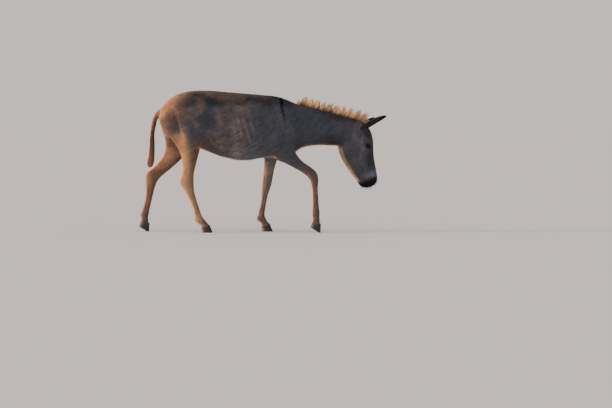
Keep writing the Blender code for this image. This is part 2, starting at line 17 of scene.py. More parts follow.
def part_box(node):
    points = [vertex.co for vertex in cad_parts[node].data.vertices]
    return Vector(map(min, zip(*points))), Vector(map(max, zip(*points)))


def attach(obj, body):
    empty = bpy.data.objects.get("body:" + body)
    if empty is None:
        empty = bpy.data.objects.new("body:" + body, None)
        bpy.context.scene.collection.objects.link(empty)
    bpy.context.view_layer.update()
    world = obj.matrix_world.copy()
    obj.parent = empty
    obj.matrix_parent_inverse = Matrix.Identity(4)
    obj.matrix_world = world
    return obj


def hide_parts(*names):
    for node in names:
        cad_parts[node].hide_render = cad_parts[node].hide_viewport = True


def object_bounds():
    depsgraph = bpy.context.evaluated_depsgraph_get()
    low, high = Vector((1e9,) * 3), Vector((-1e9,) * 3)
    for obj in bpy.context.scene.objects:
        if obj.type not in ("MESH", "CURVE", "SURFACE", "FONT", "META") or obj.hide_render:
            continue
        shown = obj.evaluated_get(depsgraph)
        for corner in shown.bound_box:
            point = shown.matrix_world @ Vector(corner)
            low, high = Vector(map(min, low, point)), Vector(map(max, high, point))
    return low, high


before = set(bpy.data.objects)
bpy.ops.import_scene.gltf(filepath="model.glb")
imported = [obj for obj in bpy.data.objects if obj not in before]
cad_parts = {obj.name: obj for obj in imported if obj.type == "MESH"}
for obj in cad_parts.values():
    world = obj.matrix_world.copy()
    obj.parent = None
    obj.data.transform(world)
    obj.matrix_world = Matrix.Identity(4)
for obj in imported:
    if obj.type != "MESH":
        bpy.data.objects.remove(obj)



def rounded(corner):
    """A corner of a box in tenths of a millimetre, for printing."""
    return [round(value, 4) for value in corner]


solids_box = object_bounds()
print("the solids reach from", rounded(solids_box[0]), "to", rounded(solids_box[1]))

# %% [markdown]
# Places on the animal are easiest to name from its own middle plane. The two eyes are its best
# landmarks: the point midway between them is the origin for every place below, moved so that
# x and z read as on the solids' drawing, with the eyes at x = 0.889 and z = 0.716.

# %% The donkey's own axes
eye_centres = {side: sum(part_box("eye_" + side), Vector()) / 2 for side in ("left", "right")}
EYE_X, EYE_Z = 0.889, 0.716
between_eyes = (eye_centres["left"] + eye_centres["right"]) / 2
origin = between_eyes - Vector((EYE_X, 0, EYE_Z))
eye_radius = (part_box("eye_left")[1].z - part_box("eye_left")[0].z) / 2
SIDES = {"left": 1, "right": -1}
print("middle plane at y =", round(origin.y, 4), "and eyeball radius", round(eye_radius, 4))


def on_donkey(places):
    """Places in the frame as an array of places on the donkey's own axes."""
    return np.asarray(places, float) - np.array(origin)


def in_frame(place):
    return Vector(place) + origin


# %% [markdown]
# Modelling operators act on whatever is selected, and the loaded solids start out selected.
# These helpers select one object only, apply its modifiers in turn, and copy a solid to work on.

# %% Helpers for working by operator
def only(obj):
    bpy.ops.object.select_all(action="DESELECT")
    obj.select_set(True)
    bpy.context.view_layer.objects.active = obj


def apply_modifiers(obj):
    only(obj)
    for modifier in list(obj.modifiers):
        bpy.ops.object.modifier_apply(modifier=modifier.name)


def modifier(obj, kind, **settings):
    made = obj.modifiers.new(kind.lower(), kind)
    for name, value in settings.items():
        setattr(made, name, value)
    return made


def copy_of_solid(node):
    """A copy of a solid's mesh with its loose triangles merged and its plain material dropped."""
    obj = bpy.data.objects.new(node + "_copy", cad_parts[node].data.copy())
    obj.data.materials.clear()
    bpy.context.scene.collection.objects.link(obj)
    only(obj)
    bpy.ops.object.mode_set(mode="EDIT")
    bpy.ops.mesh.select_all(action="SELECT")
    bpy.ops.mesh.remove_doubles(threshold=0.00001)
    bpy.ops.object.mode_set(mode="OBJECT")
    return obj


def places_of(mesh):
    flat = np.empty(len(mesh.vertices) * 3, np.float32)
    mesh.vertices.foreach_get("co", flat)
    return flat.reshape(-1, 3).astype(float)


def normals_of(mesh):
    flat = np.empty(len(mesh.vertices) * 3, np.float32)
    mesh.vertices.foreach_get("normal", flat)
    return flat.reshape(-1, 3).astype(float)


def move_to(mesh, places):
    mesh.vertices.foreach_set("co", np.asarray(places, np.float32).ravel())
    mesh.update()


# %% [markdown]
# Many things on an animal fade in and out around a place: a muscle, a pale patch, longer hair.
# One function covers them all. It gives 1 at a centre and falls smoothly to 0 at the surface of
# an ellipsoid around it, on both sides of the body or on one.

# %% A smooth patch of influence
BOTH, RIGHT = (1, -1), (-1,)
MIDDLE = (1,)  # one patch only, for a place on the middle plane


def patch(places, centre, radii, lift=0.0, sides=BOTH):
    """Influence at places on the donkey's axes. lift raises the patch's front end, in degrees."""
    turn = np.array(Matrix.Rotation(math.radians(lift), 3, "Y"))
    total = np.zeros(len(places))
    for side in sides:
        offset = (places - np.array((centre[0], side * centre[1], centre[2]))) @ turn.T
        total += np.clip(1 - ((offset / radii) ** 2).sum(axis=1), 0, None) ** 2
    return total


def smooth_step(low, high, value):
    """0 below low and 1 above high, with an eased climb between them. It falls if low is above high."""
    share = np.clip((value - low) / (high - low), 0, 1)
    return share * share * (3 - 2 * share)


def bell(away, width):
    """1 on a line and fading to both sides of it, for grooves, folds and stripes."""
    return np.exp(-((away / width) ** 2))


# %% [markdown]
# ## The skin
# The flesh comes as thirteen solids with thin gaps between them. Their copies are pushed out
# a little so that they overlap, and run together by a voxel remesh; the eyeballs go in too, so
# that their sockets close, and the hooves, so that the skin runs on inside the horn. Facets and
# seams are then eased out. A plain smooth would shrink the thin legs, so each smoothing step is
# followed by a slightly stronger step back.

# %% One skin from the flesh
LEG_PARTS = ("thigh", "hind_cannon", "forearm", "fore_cannon")
FLESH = ("trunk", "neck", "head", "tail", "tail_switch")
FLESH += tuple(f"{part}_{side}" for part in LEG_PARTS for side in SIDES)
EYES = tuple("eye_" + side for side in SIDES)
HOOVES = tuple(f"hoof_{end}_{side}" for end in ("hind", "fore") for side in SIDES)
OVERLAP = 0.0012  # how far each copy is pushed out
SKIN_CELL = 0.0087  # the remesh's voxel
STEP_IN, STEP_BACK = 0.5, -0.53  # factors of a smoothing step and the step that follows it


def ease(obj, rounds, group=""):
    """Smooths a surface without shrinking it, all over or in one vertex group."""
    for factor in (STEP_IN, STEP_BACK) * rounds:
        modifier(obj, "SMOOTH", factor=factor, iterations=1, vertex_group=group)
    apply_modifiers(obj)


pieces_of_flesh = [copy_of_solid(node) for node in FLESH + EYES + HOOVES]
for piece in pieces_of_flesh:
    modifier(piece, "DISPLACE", strength=OVERLAP, mid_level=0.0)
    apply_modifiers(piece)
only(pieces_of_flesh[0])
for piece in pieces_of_flesh:
    piece.select_set(True)
bpy.ops.object.join()
skin = bpy.context.view_layer.objects.active
skin.name = skin.data.name = "skin"
modifier(skin, "REMESH", mode="VOXEL", voxel_size=SKIN_CELL)
apply_modifiers(skin)
ease(skin, rounds=40)
only(skin)
bpy.ops.object.shade_smooth()
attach(skin, "root")
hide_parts(*FLESH)
print("skin:", len(skin.data.polygons), "faces")

# %% [markdown]
# The head needs far smaller faces than the barrel: lids and nostrils are only millimetres thick.
# Faces are selected by place and subdivided, once for the whole head, then twice more where the
# eyes and nostrils will be, and once more at the mouth.

# %% Finer faces on the head
NOSTRIL = (0.948, 0.045, 0.452)


def refine(obj, near):
    """Subdivides the faces whose middle near() accepts, and eases the new points into a curve."""
    mesh = obj.data
    middles = np.empty(len(mesh.polygons) * 3, np.float32)
    mesh.polygons.foreach_get("center", middles)
    chosen = near(on_donkey(middles.reshape(-1, 3)))
    only(obj)
    bpy.ops.object.mode_set(mode="EDIT")
    bpy.ops.mesh.select_all(action="DESELECT")
    bpy.ops.object.mode_set(mode="OBJECT")
    mesh.polygons.foreach_set("select", chosen)
    bpy.ops.object.mode_set(mode="EDIT")
    bpy.ops.mesh.select_mode(type="FACE")
    bpy.ops.mesh.subdivide(number_cuts=1, smoothness=0.0)
    bpy.ops.object.mode_set(mode="OBJECT")
    group = obj.vertex_groups.new(name="fine")
    inside = np.flatnonzero(near(on_donkey(places_of(mesh))))
    group.add(inside.tolist(), 1.0, "REPLACE")
    ease(obj, rounds=4, group=group.name)
    obj.vertex_groups.clear()
    print("  refined to", len(mesh.polygons), "faces")


def on_head(places):
    return patch(places, (0.84, 0, 0.65), (0.21, 0.30, 0.34), lift=-18) > 0


def near_features(places):
    near_eye = patch(places, (EYE_X, 0.088, EYE_Z), (0.050, 0.050, 0.050))
    near_nostril = patch(places, NOSTRIL, (0.034, 0.034, 0.040))
    near_mouth = patch(places, (0.888, 0.0, 0.420), (0.036, 0.12, 0.074), sides=MIDDLE)
    return near_eye + near_nostril + near_mouth > 0


def near_rims(places):
    near_eye = patch(places, (EYE_X, 0.092, EYE_Z), (0.030, 0.030, 0.030))
    near_nostril = patch(places, NOSTRIL, (0.024, 0.026, 0.030))
    return near_eye + near_nostril > 0


for near in (on_head, near_features, near_rims):
    refine(skin, near)

# %% [markdown]
# ### Muscle, bone and folds
# The solids hold the main forms. What the smoothing took, and what was too small for them, is
# sculpted back: each row moves the skin along its normals by a patch's influence.

# %% Sculpting by patches
SWELLS = (
    # centre, radii, height, lift
    ((-0.470, 0.165, 1.085), (0.080, 0.080, 0.055), 0.006, -25),  # point of hip
    ((-0.690, 0.175, 0.900), (0.022, 0.090, 0.170), -0.006, 12),  # groove in the thigh
    ((-0.610, 0.190, 0.870), (0.060, 0.090, 0.150), 0.005, 12),  # muscle before it
    ((-0.770, 0.150, 0.900), (0.045, 0.090, 0.130), 0.005, 15),  # muscle behind it
    ((0.175, 0.130, 0.960), (0.022, 0.080, 0.190), 0.004, 24),  # spine of the shoulder blade
    ((0.085, 0.170, 0.850), (0.030, 0.090, 0.120), -0.005, -30),  # groove over the triceps
    ((0.300, 0.100, 0.800), (0.028, 0.060, 0.070), -0.006, 10),  # groove before the shoulder
    ((0.480, 0.085, 0.800), (0.260, 0.050, 0.036), -0.004, -3),  # groove of the throat
    ((0.650, 0.070, 0.840), (0.034, 0.050, 0.090), 0.003, -30),  # wing of the first neck bone
    ((0.886, 0.086, 0.716), (0.070, 0.070, 0.062), 0.009, 0),  # rim of the eye socket
    ((0.862, 0.086, 0.775), (0.050, 0.040, 0.022), 0.0045, 35),  # brow bone
    ((0.830, 0.078, 0.812), (0.026, 0.035, 0.026), -0.006, 0),  # hollow above it
    ((0.838, 0.082, 0.655), (0.015, 0.040, 0.085), 0.0034, -14),  # ridge of the face
    ((0.815, 0.075, 0.630), (0.020, 0.040, 0.080), -0.003, -14),  # hollow behind it
    ((0.905, 0.050, 0.560), (0.014, 0.030, 0.080), -0.004, -8),  # beside the nose
    ((0.733, 0.090, 0.710), (0.065, 0.050, 0.085), 0.004, 30),  # cheek muscle
    ((0.690, 0.080, 0.700), (0.012, 0.050, 0.090), -0.004, 28),  # groove behind the cheek
    ((0.780, 0.060, 0.560), (0.100, 0.030, 0.010), 0.003, -60),  # vein along the jaw
    ((0.948, 0.050, 0.470), (0.026, 0.028, 0.022), 0.005, 0),  # wing of the nostril
    ((0.925, 0.045, 0.425), (0.026, 0.030, 0.026), 0.004, 0),  # upper lip
    ((0.862, 0.030, 0.400), (0.022, 0.030, 0.022), 0.005, 0),  # lower lip
    ((0.842, 0.000, 0.425), (0.020, 0.030, 0.024), 0.004, 0),  # chin
)
# Between bone and tendon each shank has a groove on both its sides: two ends in the side view.
SHANK_GROOVE_DEPTH, SHANK_GROOVE_WIDTH = 0.0026, 0.0080
SHANK_GROOVES = {
    "left": (((0.034, 0.335), (-0.006, 0.165)), ((-0.945, 0.385), (-0.976, 0.190))),
    "right": (((0.444, 0.370), (0.448, 0.180)), ((-0.608, 0.370), (-0.534, 0.150))),
}
RIB_RISE, RIB_SPACING, RIB_SLANT = 0.0012, 0.052, 0.25


def along_line(places, start, end):
    """Each place's distance from a line in the side view, and its share of the way along it."""
    start, end = np.array(start), np.array(end)
    way = end - start
    offset = places[:, (0, 2)] - start
    share = (offset @ way) / (way @ way)
    away = offset[:, 0] * way[1] - offset[:, 1] * way[0]
    return away / np.linalg.norm(way), share


def muscle_and_bone(places):
    """How far the skin moves out, or in where it is below 0, for each form under it."""
    travel = np.zeros(len(places))
    for centre, radii, height, lift in SWELLS:
        travel += height * patch(places, centre, radii, lift)
    for side, lines in SHANK_GROOVES.items():
        on_side = places[:, 1] * SIDES[side] > 0.04
        for start, end in lines:
            away, share = along_line(places, start, end)
            on_way = smooth_step(-0.12, 0.08, share) * smooth_step(1.12, 0.92, share)
            travel -= SHANK_GROOVE_DEPTH * on_side * on_way * bell(away, SHANK_GROOVE_WIDTH)
    ribs = patch(places, (-0.080, 0.210, 0.850), (0.260, 0.120, 0.230))
    rib_wave = np.cos((places[:, 0] + RIB_SLANT * places[:, 2]) * math.tau / RIB_SPACING)
    return travel + RIB_RISE * ribs * rib_wave


def sculpt(obj, travel_of):
    places = places_of(obj.data)
    travel = travel_of(on_donkey(places))
    move_to(obj.data, places + normals_of(obj.data) * travel[:, None])


sculpt(skin, muscle_and_bone)

# %% [markdown]
# ### Lie, length and depth of the coat
# Hair has a lie: along the back it runs to the tail, on the flank it turns down, on the face it
# runs to the nose. One table of guide points gives the lie, the length and how far hair stands
# off the skin. A place takes a blend of the guides around it. The skin itself then sinks by the
# depth that this hair fills, so that the tips, and not the skin, reach the donkey's outline.

# %% Guides for the coat
GUIDES = (
    # place, lie of the hair, length, lift off the skin in degrees
    ((0.925, 0.020, 0.830), (0.20, 0.10, -1.00), 0.009, 14),  # forehead
    ((0.860, 0.020, 0.915), (0.80, 0.00, -0.50), 0.014, 20),  # poll
    ((0.950, 0.020, 0.640), (0.10, 0.15, -1.00), 0.007, 12),  # bridge of the nose
    ((0.968, 0.020, 0.500), (0.05, 0.10, -1.00), 0.005, 12),
    ((0.965, 0.030, 0.440), (0.00, 0.05, -1.00), 0.0035, 11),  # muzzle
    ((0.900, 0.050, 0.420), (0.00, 0.00, -1.00), 0.0035, 11),
    ((0.850, 0.020, 0.400), (0.20, 0.00, -1.00), 0.007, 20),  # chin
    ((0.885, 0.090, 0.720), (-0.30, 0.10, -0.95), 0.006, 11),  # round the eye
    ((0.840, 0.080, 0.810), (-0.30, 0.20, -0.90), 0.008, 13),  # temple
    ((0.850, 0.080, 0.600), (0.10, 0.00, -1.00), 0.007, 12),  # side of the face
    ((0.750, 0.090, 0.720), (-0.25, 0.00, -1.00), 0.009, 15),  # cheek
    ((0.690, 0.040, 0.650), (-0.15, -0.10, -1.00), 0.015, 26),  # edge of the jaw
    ((0.780, 0.030, 0.500), (0.30, 0.00, -1.00), 0.011, 22),
    ((0.690, 0.050, 0.735), (-0.50, 0.00, -0.80), 0.017, 26),  # throat
    ((0.790, 0.070, 0.870), (-0.60, 0.20, -0.70), 0.012, 17),  # behind the ear
    ((0.640, 0.050, 0.960), (-0.70, 0.20, -0.70), 0.014, 18),  # neck
    ((0.600, 0.070, 0.860), (-0.80, 0.10, -0.55), 0.014, 17),
    ((0.550, 0.040, 0.735), (-0.85, 0.00, -0.30), 0.016, 24),
    ((0.420, 0.080, 0.960), (-0.75, 0.15, -0.65), 0.015, 18),
    ((0.380, 0.090, 0.800), (-0.65, 0.00, -0.80), 0.015, 19),
    ((0.200, 0.030, 1.120), (-0.95, 0.25, -0.15), 0.016, 20),  # withers
    ((0.170, 0.130, 0.950), (-0.50, 0.05, -0.85), 0.013, 17),  # shoulder
    ((0.170, 0.150, 0.800), (-0.30, 0.00, -0.95), 0.013, 17),
    ((0.300, 0.040, 0.740), (-0.10, 0.00, -1.00), 0.016, 24),  # breast
    ((-0.020, 0.160, 1.060), (-0.90, 0.15, -0.40), 0.015, 18),  # ribs
    ((-0.100, 0.210, 0.880), (-0.85, 0.00, -0.50), 0.014, 17),
    ((-0.100, 0.180, 0.720), (-0.80, -0.10, -0.55), 0.015, 19),
    ((-0.100, 0.030, 0.610), (-1.00, 0.00, -0.15), 0.022, 26),  # belly
    ((-0.300, 0.020, 1.180), (-1.00, 0.05, 0.00), 0.016, 18),  # back
    ((-0.470, 0.150, 1.080), (-0.80, 0.20, -0.50), 0.014, 17),  # loin
    ((-0.400, 0.190, 0.920), (-0.25, 0.00, -0.95), 0.017, 22),  # flank
    ((-0.380, 0.150, 0.720), (-0.20, -0.10, -1.00), 0.018, 24),
    ((-0.700, 0.080, 1.140), (-0.90, 0.15, -0.40), 0.014, 18),  # croup
    ((-0.830, 0.080, 0.960), (-0.30, 0.10, -0.95), 0.015, 22),  # buttock
    ((-0.820, 0.020, 0.850), (0.05, 0.00, -1.00), 0.015, 20),
    ((-0.640, 0.190, 0.870), (-0.35, 0.00, -0.95), 0.013, 17),  # thigh
    ((-0.640, 0.040, 0.760), (-0.10, 0.00, -1.00), 0.016, 22),  # inside it
    ((-0.530, 0.150, 0.720), (-0.15, 0.00, -1.00), 0.012, 17),
    ((-0.880, 0.000, 1.000), (-0.60, 0.00, -0.80), 0.014, 16),  # root of the tail
    ((-0.920, 0.000, 0.800), (-0.05, 0.00, -1.00), 0.020, 15),
)
LEG_GUIDES = {
    "left": (
        ((0.085, 0.105, 0.580), (-0.15, -0.10, -1.00), 0.010, 16),
        ((0.045, 0.105, 0.350), (-0.15, 0.00, -1.00), 0.008, 14),
        ((0.010, 0.105, 0.200), (-0.15, 0.00, -1.00), 0.008, 14),
        ((0.030, 0.105, 0.080), (0.40, 0.00, -0.90), 0.010, 16),
        ((-0.760, 0.118, 0.620), (-0.70, 0.00, -0.75), 0.011, 16),
        ((-0.920, 0.118, 0.430), (-0.40, 0.00, -0.90), 0.009, 15),
        ((-0.960, 0.118, 0.250), (-0.20, 0.00, -1.00), 0.008, 14),
        ((-0.980, 0.118, 0.090), (0.00, 0.00, -1.00), 0.010, 16),
    ),
    "right": (
        ((0.250, 0.105, 0.620), (0.65, 0.00, -0.75), 0.012, 17),
        ((0.380, 0.105, 0.530), (0.80, 0.00, -0.60), 0.010, 16),
        ((0.445, 0.105, 0.420), (0.10, 0.00, -1.00), 0.008, 14),
        ((0.455, 0.105, 0.220), (0.05, 0.00, -1.00), 0.008, 14),
        ((0.460, 0.105, 0.090), (0.00, 0.00, -1.00), 0.010, 16),
        ((-0.600, 0.118, 0.580), (0.00, 0.00, -1.00), 0.011, 16),
        ((-0.615, 0.118, 0.400), (0.10, 0.00, -1.00), 0.009, 15),
        ((-0.560, 0.118, 0.220), (0.35, 0.00, -1.00), 0.008, 14),
        ((-0.480, 0.118, 0.080), (0.60, 0.00, -0.80), 0.010, 16),
    ),
}
GUIDE_REACH = 0.060  # how far a guide's influence spreads
GUIDE_EASE = 0.15  # the larger it is, the less the nearest guide rules alone
TUFTS_STACK = 1.15  # crossed tufts stand higher than one alone, by this factor
FLOOR_GAP = 0.003  # the skin inside the hooves stays this far above the floor


def all_guides():
    """Rows of place, lie, length and lift: the trunk's on both sides, and each leg's on its own."""
    for side, sign in SIDES.items():
        for place, lie, length, lift in GUIDES + LEG_GUIDES[side]:
            mirror = np.array((1, sign, 1))
            yield np.array(place) * mirror, np.array(lie) * mirror, length, math.radians(lift)


def coat_at(places):
    """The lie, length and lift of the hair at places on the donkey's axes."""
    lie = np.zeros((len(places), 3))
    length, lift, total = np.zeros(len(places)), np.zeros(len(places)), np.zeros(len(places))
    for place, guide_lie, guide_length, guide_lift in all_guides():
        away = ((places - place) ** 2).sum(axis=1) / GUIDE_REACH**2
        weight = 1 / (GUIDE_EASE + away) ** 3
        lie += weight[:, None] * guide_lie
        length += weight * guide_length
        lift += weight * guide_lift
        total += weight
    return lie / total[:, None], length / total, lift / total


def coat_depth(places):
    """How deep the hair stands over the skin. It thins out towards the hooves and the lips."""
    _, length, lift = coat_at(places)
    return length * np.sin(lift) * TUFTS_STACK


sculpt(skin, lambda places: -OVERLAP - coat_depth(places))
clear_of_floor = places_of(skin.data)
clear_of_floor[:, 2] = np.maximum(clear_of_floor[:, 2], FLOOR_GAP)
move_to(skin.data, clear_of_floor)

# %% [markdown]
# ### Scribed lines
# A lid's rim is a crisp line, but a mesh can only be crisp along its own edges. So the line is
# first cut into the mesh: each edge that crosses it is split just there, and the new points are
# joined. After that the points on the line can be moved as one.

# %% Scribing a line into a mesh
CUT_MARGIN = 0.04  # a cut keeps this share of its edge away from either end
FAR = 9.0  # the level given to places far from any line


def scribe(obj, level_of, lines):
    """Cuts edges into the mesh along the lines where level_of has the given values."""
    count = 0
    for line in lines:
        mesh = obj.data
        ends = np.empty(len(mesh.edges) * 2, np.int32)
        mesh.edges.foreach_get("vertices", ends)
        ends = ends.reshape(-1, 2)
        first, second = (level_of(on_donkey(places_of(mesh))) - line)[ends].T
        crossed = np.flatnonzero(first * second < 0)
        share = np.clip(first[crossed] / (first[crossed] - second[crossed]), CUT_MARGIN, 1 - CUT_MARGIN)
        bm = bmesh.new()
        bm.from_mesh(mesh)
        verts, edges = list(bm.verts), list(bm.edges)
        made = []
        for i, part in zip(crossed, share):
            made.append(bmesh.utils.edge_split(edges[i], verts[ends[i, 0]], float(part))[1])
        bmesh.ops.connect_verts(bm, verts=made)
        bm.to_mesh(mesh)
        bm.free()
        count += len(made)
    print("  scribed", count, "points")


# %% [markdown]
# ### Eyelids
# Lids are skin that lies on the eyeball. Around each eye every point is described by two angles
# seen from the ball's centre: along the slit and across it. That makes an almond easy to write.
# Points of the lids are laid just over the ball, points inside the almond sink into the ball
# where the real eye covers them, and folds run beside the rims as lines of equal distance.

# %% Lids over the eyeballs
LID = 0.0024  # thickness of the lids at their rims
SLIT_HALF = math.radians(50)
UPPER_OPENING, LOWER_OPENING = math.radians(25), math.radians(17)
EYE_OUT = Vector((0.30, 0.94, 0.06)).normalized()  # where the left eye looks
SLIT_WAY = Vector((-0.70, 0.20, 0.70))  # from the inner corner to the outer corner
INNER_RIM, OUTER_RIM = -0.05, 0.06  # the margin of a lid, in radians from its rim
LID_FOLDS = ((0.24, 0.0014, 0.050), (0.46, 0.0010, 0.060))  # radians from the rim, depth, width
UPPER_SWELL, LOWER_SWELL = 0.0018, 0.0006  # how much thicker the lids get behind their rims
UNDER_BALL = 0.0016  # how far the skin inside the almond sinks below the ball
LID_FULL, LID_LAST = (0.030, math.radians(44)), (0.050, math.radians(80))  # reach, angle off the axis


def eye_axes(side):
    """Centre and axes of an eye on the donkey's axes: out of the head, along the slit, upwards."""
    sign = SIDES[side]
    out = Vector((EYE_OUT.x, sign * EYE_OUT.y, EYE_OUT.z))
    way = Vector((SLIT_WAY.x, sign * SLIT_WAY.y, SLIT_WAY.z))
    along = (way - way.dot(out) * out).normalized()
    up = out.cross(along) * sign
    centre = eye_centres[side] - origin
    return np.array(centre), np.array(out), np.array(along), np.array(up)


def eye_angles(places, side):
    """Distance and direction from the eyeball's centre, and the angles along and across the slit."""
    centre, out, along, up = eye_axes(side)
    offset = places - centre
    reach = np.linalg.norm(offset, axis=1)
    heading = offset / reach[:, None]
    across = np.arcsin(np.clip(heading @ up, -1, 1))
    sideways = np.arctan2(heading @ along, heading @ out)
    off_axis = np.arccos(np.clip(heading @ out, -1, 1))
    return reach, heading, sideways, across, off_axis


def bow(sideways):
    """How wide the slit is open at an angle along it: 1 in its middle and 0 at its corners."""
    share = np.clip(sideways / SLIT_HALF, -1, 1)
    return (1 - share**2) ** 0.75


def almond(sideways, across):
    """Below 0 inside the opening, and about the angle from its rim outside it."""
    opening = np.where(across > 0, UPPER_OPENING, LOWER_OPENING) * bow(sideways)
    past_corner = np.clip(np.abs(sideways) - SLIT_HALF, 0, None)
    beyond = np.abs(across) - opening
    return np.where(past_corner > 0, np.hypot(np.abs(across), past_corner), beyond)


def lid_level(places):
    """The almond's level near the eyes, and a high value elsewhere."""
    level = np.full(len(places), FAR)
    for side in SIDES:
        reach, _, sideways, across, off_axis = eye_angles(places, side)
        near = (reach < 0.040) & (off_axis < LID_LAST[1])
        level = np.where(near, almond(sideways, across), level)
    return level


def shape_lids(obj):
    """Lays the skin round each eye over its ball, with a margin, a swell and folds."""
    places = on_donkey(places_of(obj.data))
    for side in SIDES:
        reach, heading, sideways, across, off_axis = eye_angles(places, side)
        rim = almond(sideways, across)
        upper = across > 0
        swell = np.where(upper, UPPER_SWELL, LOWER_SWELL) * smooth_step(OUTER_RIM, 0.20, rim)
        lid = eye_radius + LID + swell
        for fold, depth, width in LID_FOLDS:
            lid -= depth * bell(rim - fold, width) * np.where(upper, 1.0, 0.7)
            lid += 0.8 * depth * bell(rim - fold - 1.8 * width, width)
        margin = np.clip((rim - INNER_RIM) / (OUTER_RIM - INNER_RIM), 0, 1)
        ball = eye_radius - UNDER_BALL
        lid = ball + (lid - ball) * margin**0.6
        held = smooth_step(LID_LAST[1], LID_FULL[1], off_axis) * smooth_step(LID_LAST[0], LID_FULL[0], reach)
        laid = reach * (1 - held) + lid * held
        places = eye_axes(side)[0] + heading * laid[:, None]
    move_to(obj.data, places + np.array(origin))


scribe(skin, lid_level, (INNER_RIM, 0.0, OUTER_RIM))
shape_lids(skin)

# %% [markdown]
# ### Nostrils and mouth
# A donkey's nostril is a comma nearly four centimetres long, with a raised rim. The same idea as
# for the lids serves here: an outline written as a function, a pocket inside it and a lip around
# it. The mouth is a groove where the two lips meet, from its corners round the chin.

# %% Nostrils and mouth
NOSTRIL_OUT = Vector((0.62, 0.78, 0.02)).normalized()
NOSTRIL_WAY = Vector((0.30, -0.20, 1.0))
NOSTRIL_HALF_LENGTH, NOSTRIL_HALF_WIDTH, NOSTRIL_DEPTH = 0.0185, 0.0084, 0.018
MOUTH = ((0.868, 0.466), (0.886, 0.435), (0.899, 0.405), (0.906, 0.360))  # in the side view
LIP_GROOVE, LIP_GROOVE_WIDTH = 0.0042, 0.0022
LIP_SWELL, LIP_SWELL_AT, LIP_SWELL_WIDTH = 0.0016, 0.0075, 0.0045  # beside the groove
NOSTRIL_LIP, NOSTRIL_LIP_AT, NOSTRIL_LIP_WIDTH = 0.0022, 0.30, 0.28  # round each opening


def nostril_level(places):
    """Below 0 inside a nostril, and high away from it."""
    level = np.full(len(places), FAR)
    for sign in SIDES.values():
        mirror = Vector((1, sign, 1))
        out = NOSTRIL_OUT * mirror
        way = (NOSTRIL_WAY * mirror - (NOSTRIL_WAY * mirror).dot(out) * out).normalized()
        offset = places - np.array(Vector(NOSTRIL) * mirror)
        along = offset @ np.array(way) / NOSTRIL_HALF_LENGTH
        aside = offset @ np.array(out.cross(way) * sign) / NOSTRIL_HALF_WIDTH
        aside = (aside - 0.8 * along**2 + 0.3) / (1.0 + 0.25 * np.clip(along, -2, 2))
        here = (np.linalg.norm(offset, axis=1) < 0.030) & (places[:, 1] * sign > 0)
        level = np.where(here, np.hypot(along, aside) - 1, level)
    return level


def off_mouth_line(places):
    """How far a place is in front of the line where the lips meet, seen from the side."""
    line = np.array(MOUTH)
    return places[:, 0] - np.interp(-places[:, 2], -line[:, 1], line[:, 0])


def near_mouth_line(places):
    """1 on the muzzle below the mouth's corner, fading out above it, and 0 elsewhere."""
    muzzle = patch(places, (0.89, 0, 0.41), (0.06, 0.2, 0.08), sides=MIDDLE)
    return smooth_step(0.471, 0.450, places[:, 2]) * (muzzle > 0)


def nostrils_and_mouth(places):
    """How far the skin moves out for the lips round nostrils and mouth, and in for their hollows."""
    rim = nostril_level(places)
    nostril = NOSTRIL_LIP * bell(rim - NOSTRIL_LIP_AT, NOSTRIL_LIP_WIDTH)
    nostril -= NOSTRIL_DEPTH * smooth_step(0.0, -0.8, rim)
    across = off_mouth_line(places)
    groove = LIP_GROOVE * bell(across, LIP_GROOVE_WIDTH)
    lips = LIP_SWELL * bell(np.abs(across) - LIP_SWELL_AT, LIP_SWELL_WIDTH)
    return nostril + (lips - groove) * near_mouth_line(places)


def mouth_level(places):
    return np.where(near_mouth_line(places) > 0, off_mouth_line(places), FAR)


scribe(skin, nostril_level, (0.0, -0.35))
scribe(skin, mouth_level, (0.0,))
sculpt(skin, nostrils_and_mouth)

# %% [markdown]
# ## Hair from arrays
# A coat is hundreds of thousands of small shapes, too many for operators. Each shape is simple,
# though, so all their corners are computed together with numpy and handed to Blender as one mesh.
# Every corner also carries values: how near the tip it is, and a random shade for its tuft.

# %% Meshes from arrays
def mesh_piece(name, places, triangles, patch_uv, values):
    """An object from places held in the solids' box, triangles, their UV places and named values."""
    places = np.clip(places, *solids_box)
    mesh = bpy.data.meshes.new(name)
    mesh.vertices.add(len(places))
    mesh.loops.add(triangles.size)
    mesh.polygons.add(len(triangles))
    mesh.vertices.foreach_set("co", np.asarray(places, np.float32).ravel())
    mesh.loops.foreach_set("vertex_index", triangles.ravel().astype(np.int32))
    mesh.polygons.foreach_set("loop_start", np.arange(0, triangles.size, 3, dtype=np.int32))
    mesh.update(calc_edges=True)
    mesh.shade_smooth()
    layer = mesh.uv_layers.new(name="OFBake")
    layer.data.foreach_set("uv", np.asarray(patch_uv[triangles.ravel()], np.float32).ravel())
    set_values(mesh, values)
    obj = bpy.data.objects.new(name, mesh)
    bpy.context.scene.collection.objects.link(obj)
    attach(obj, "root")
    print(f"{name}: {len(triangles)} triangles")
    return obj


def set_values(mesh, values):
    """Stores named values, one for each vertex, where a material can read them."""
    for name, value in values.items():
        attribute = mesh.attributes.new(name, "FLOAT", "POINT")
        attribute.data.foreach_set("value", np.asarray(value, np.float32))


def unit(vectors):
    """Each vector at length 1."""
    return vectors / np.maximum(np.linalg.norm(vectors, axis=1, keepdims=True), 1e-9)


WAVES = 8


def ripple(places, wavelength, seed):
    """A smooth random field of about -1 to 1: waves in random directions, added up."""
    rng = np.random.default_rng(seed)
    total = np.zeros(len(places))
    for _ in range(WAVES):
        heading = rng.normal(size=3)
        heading *= math.tau / np.linalg.norm(heading) / wavelength / rng.uniform(0.7, 1.5)
        total += np.sin(places @ heading + rng.uniform(0, math.tau))
    return total / 3


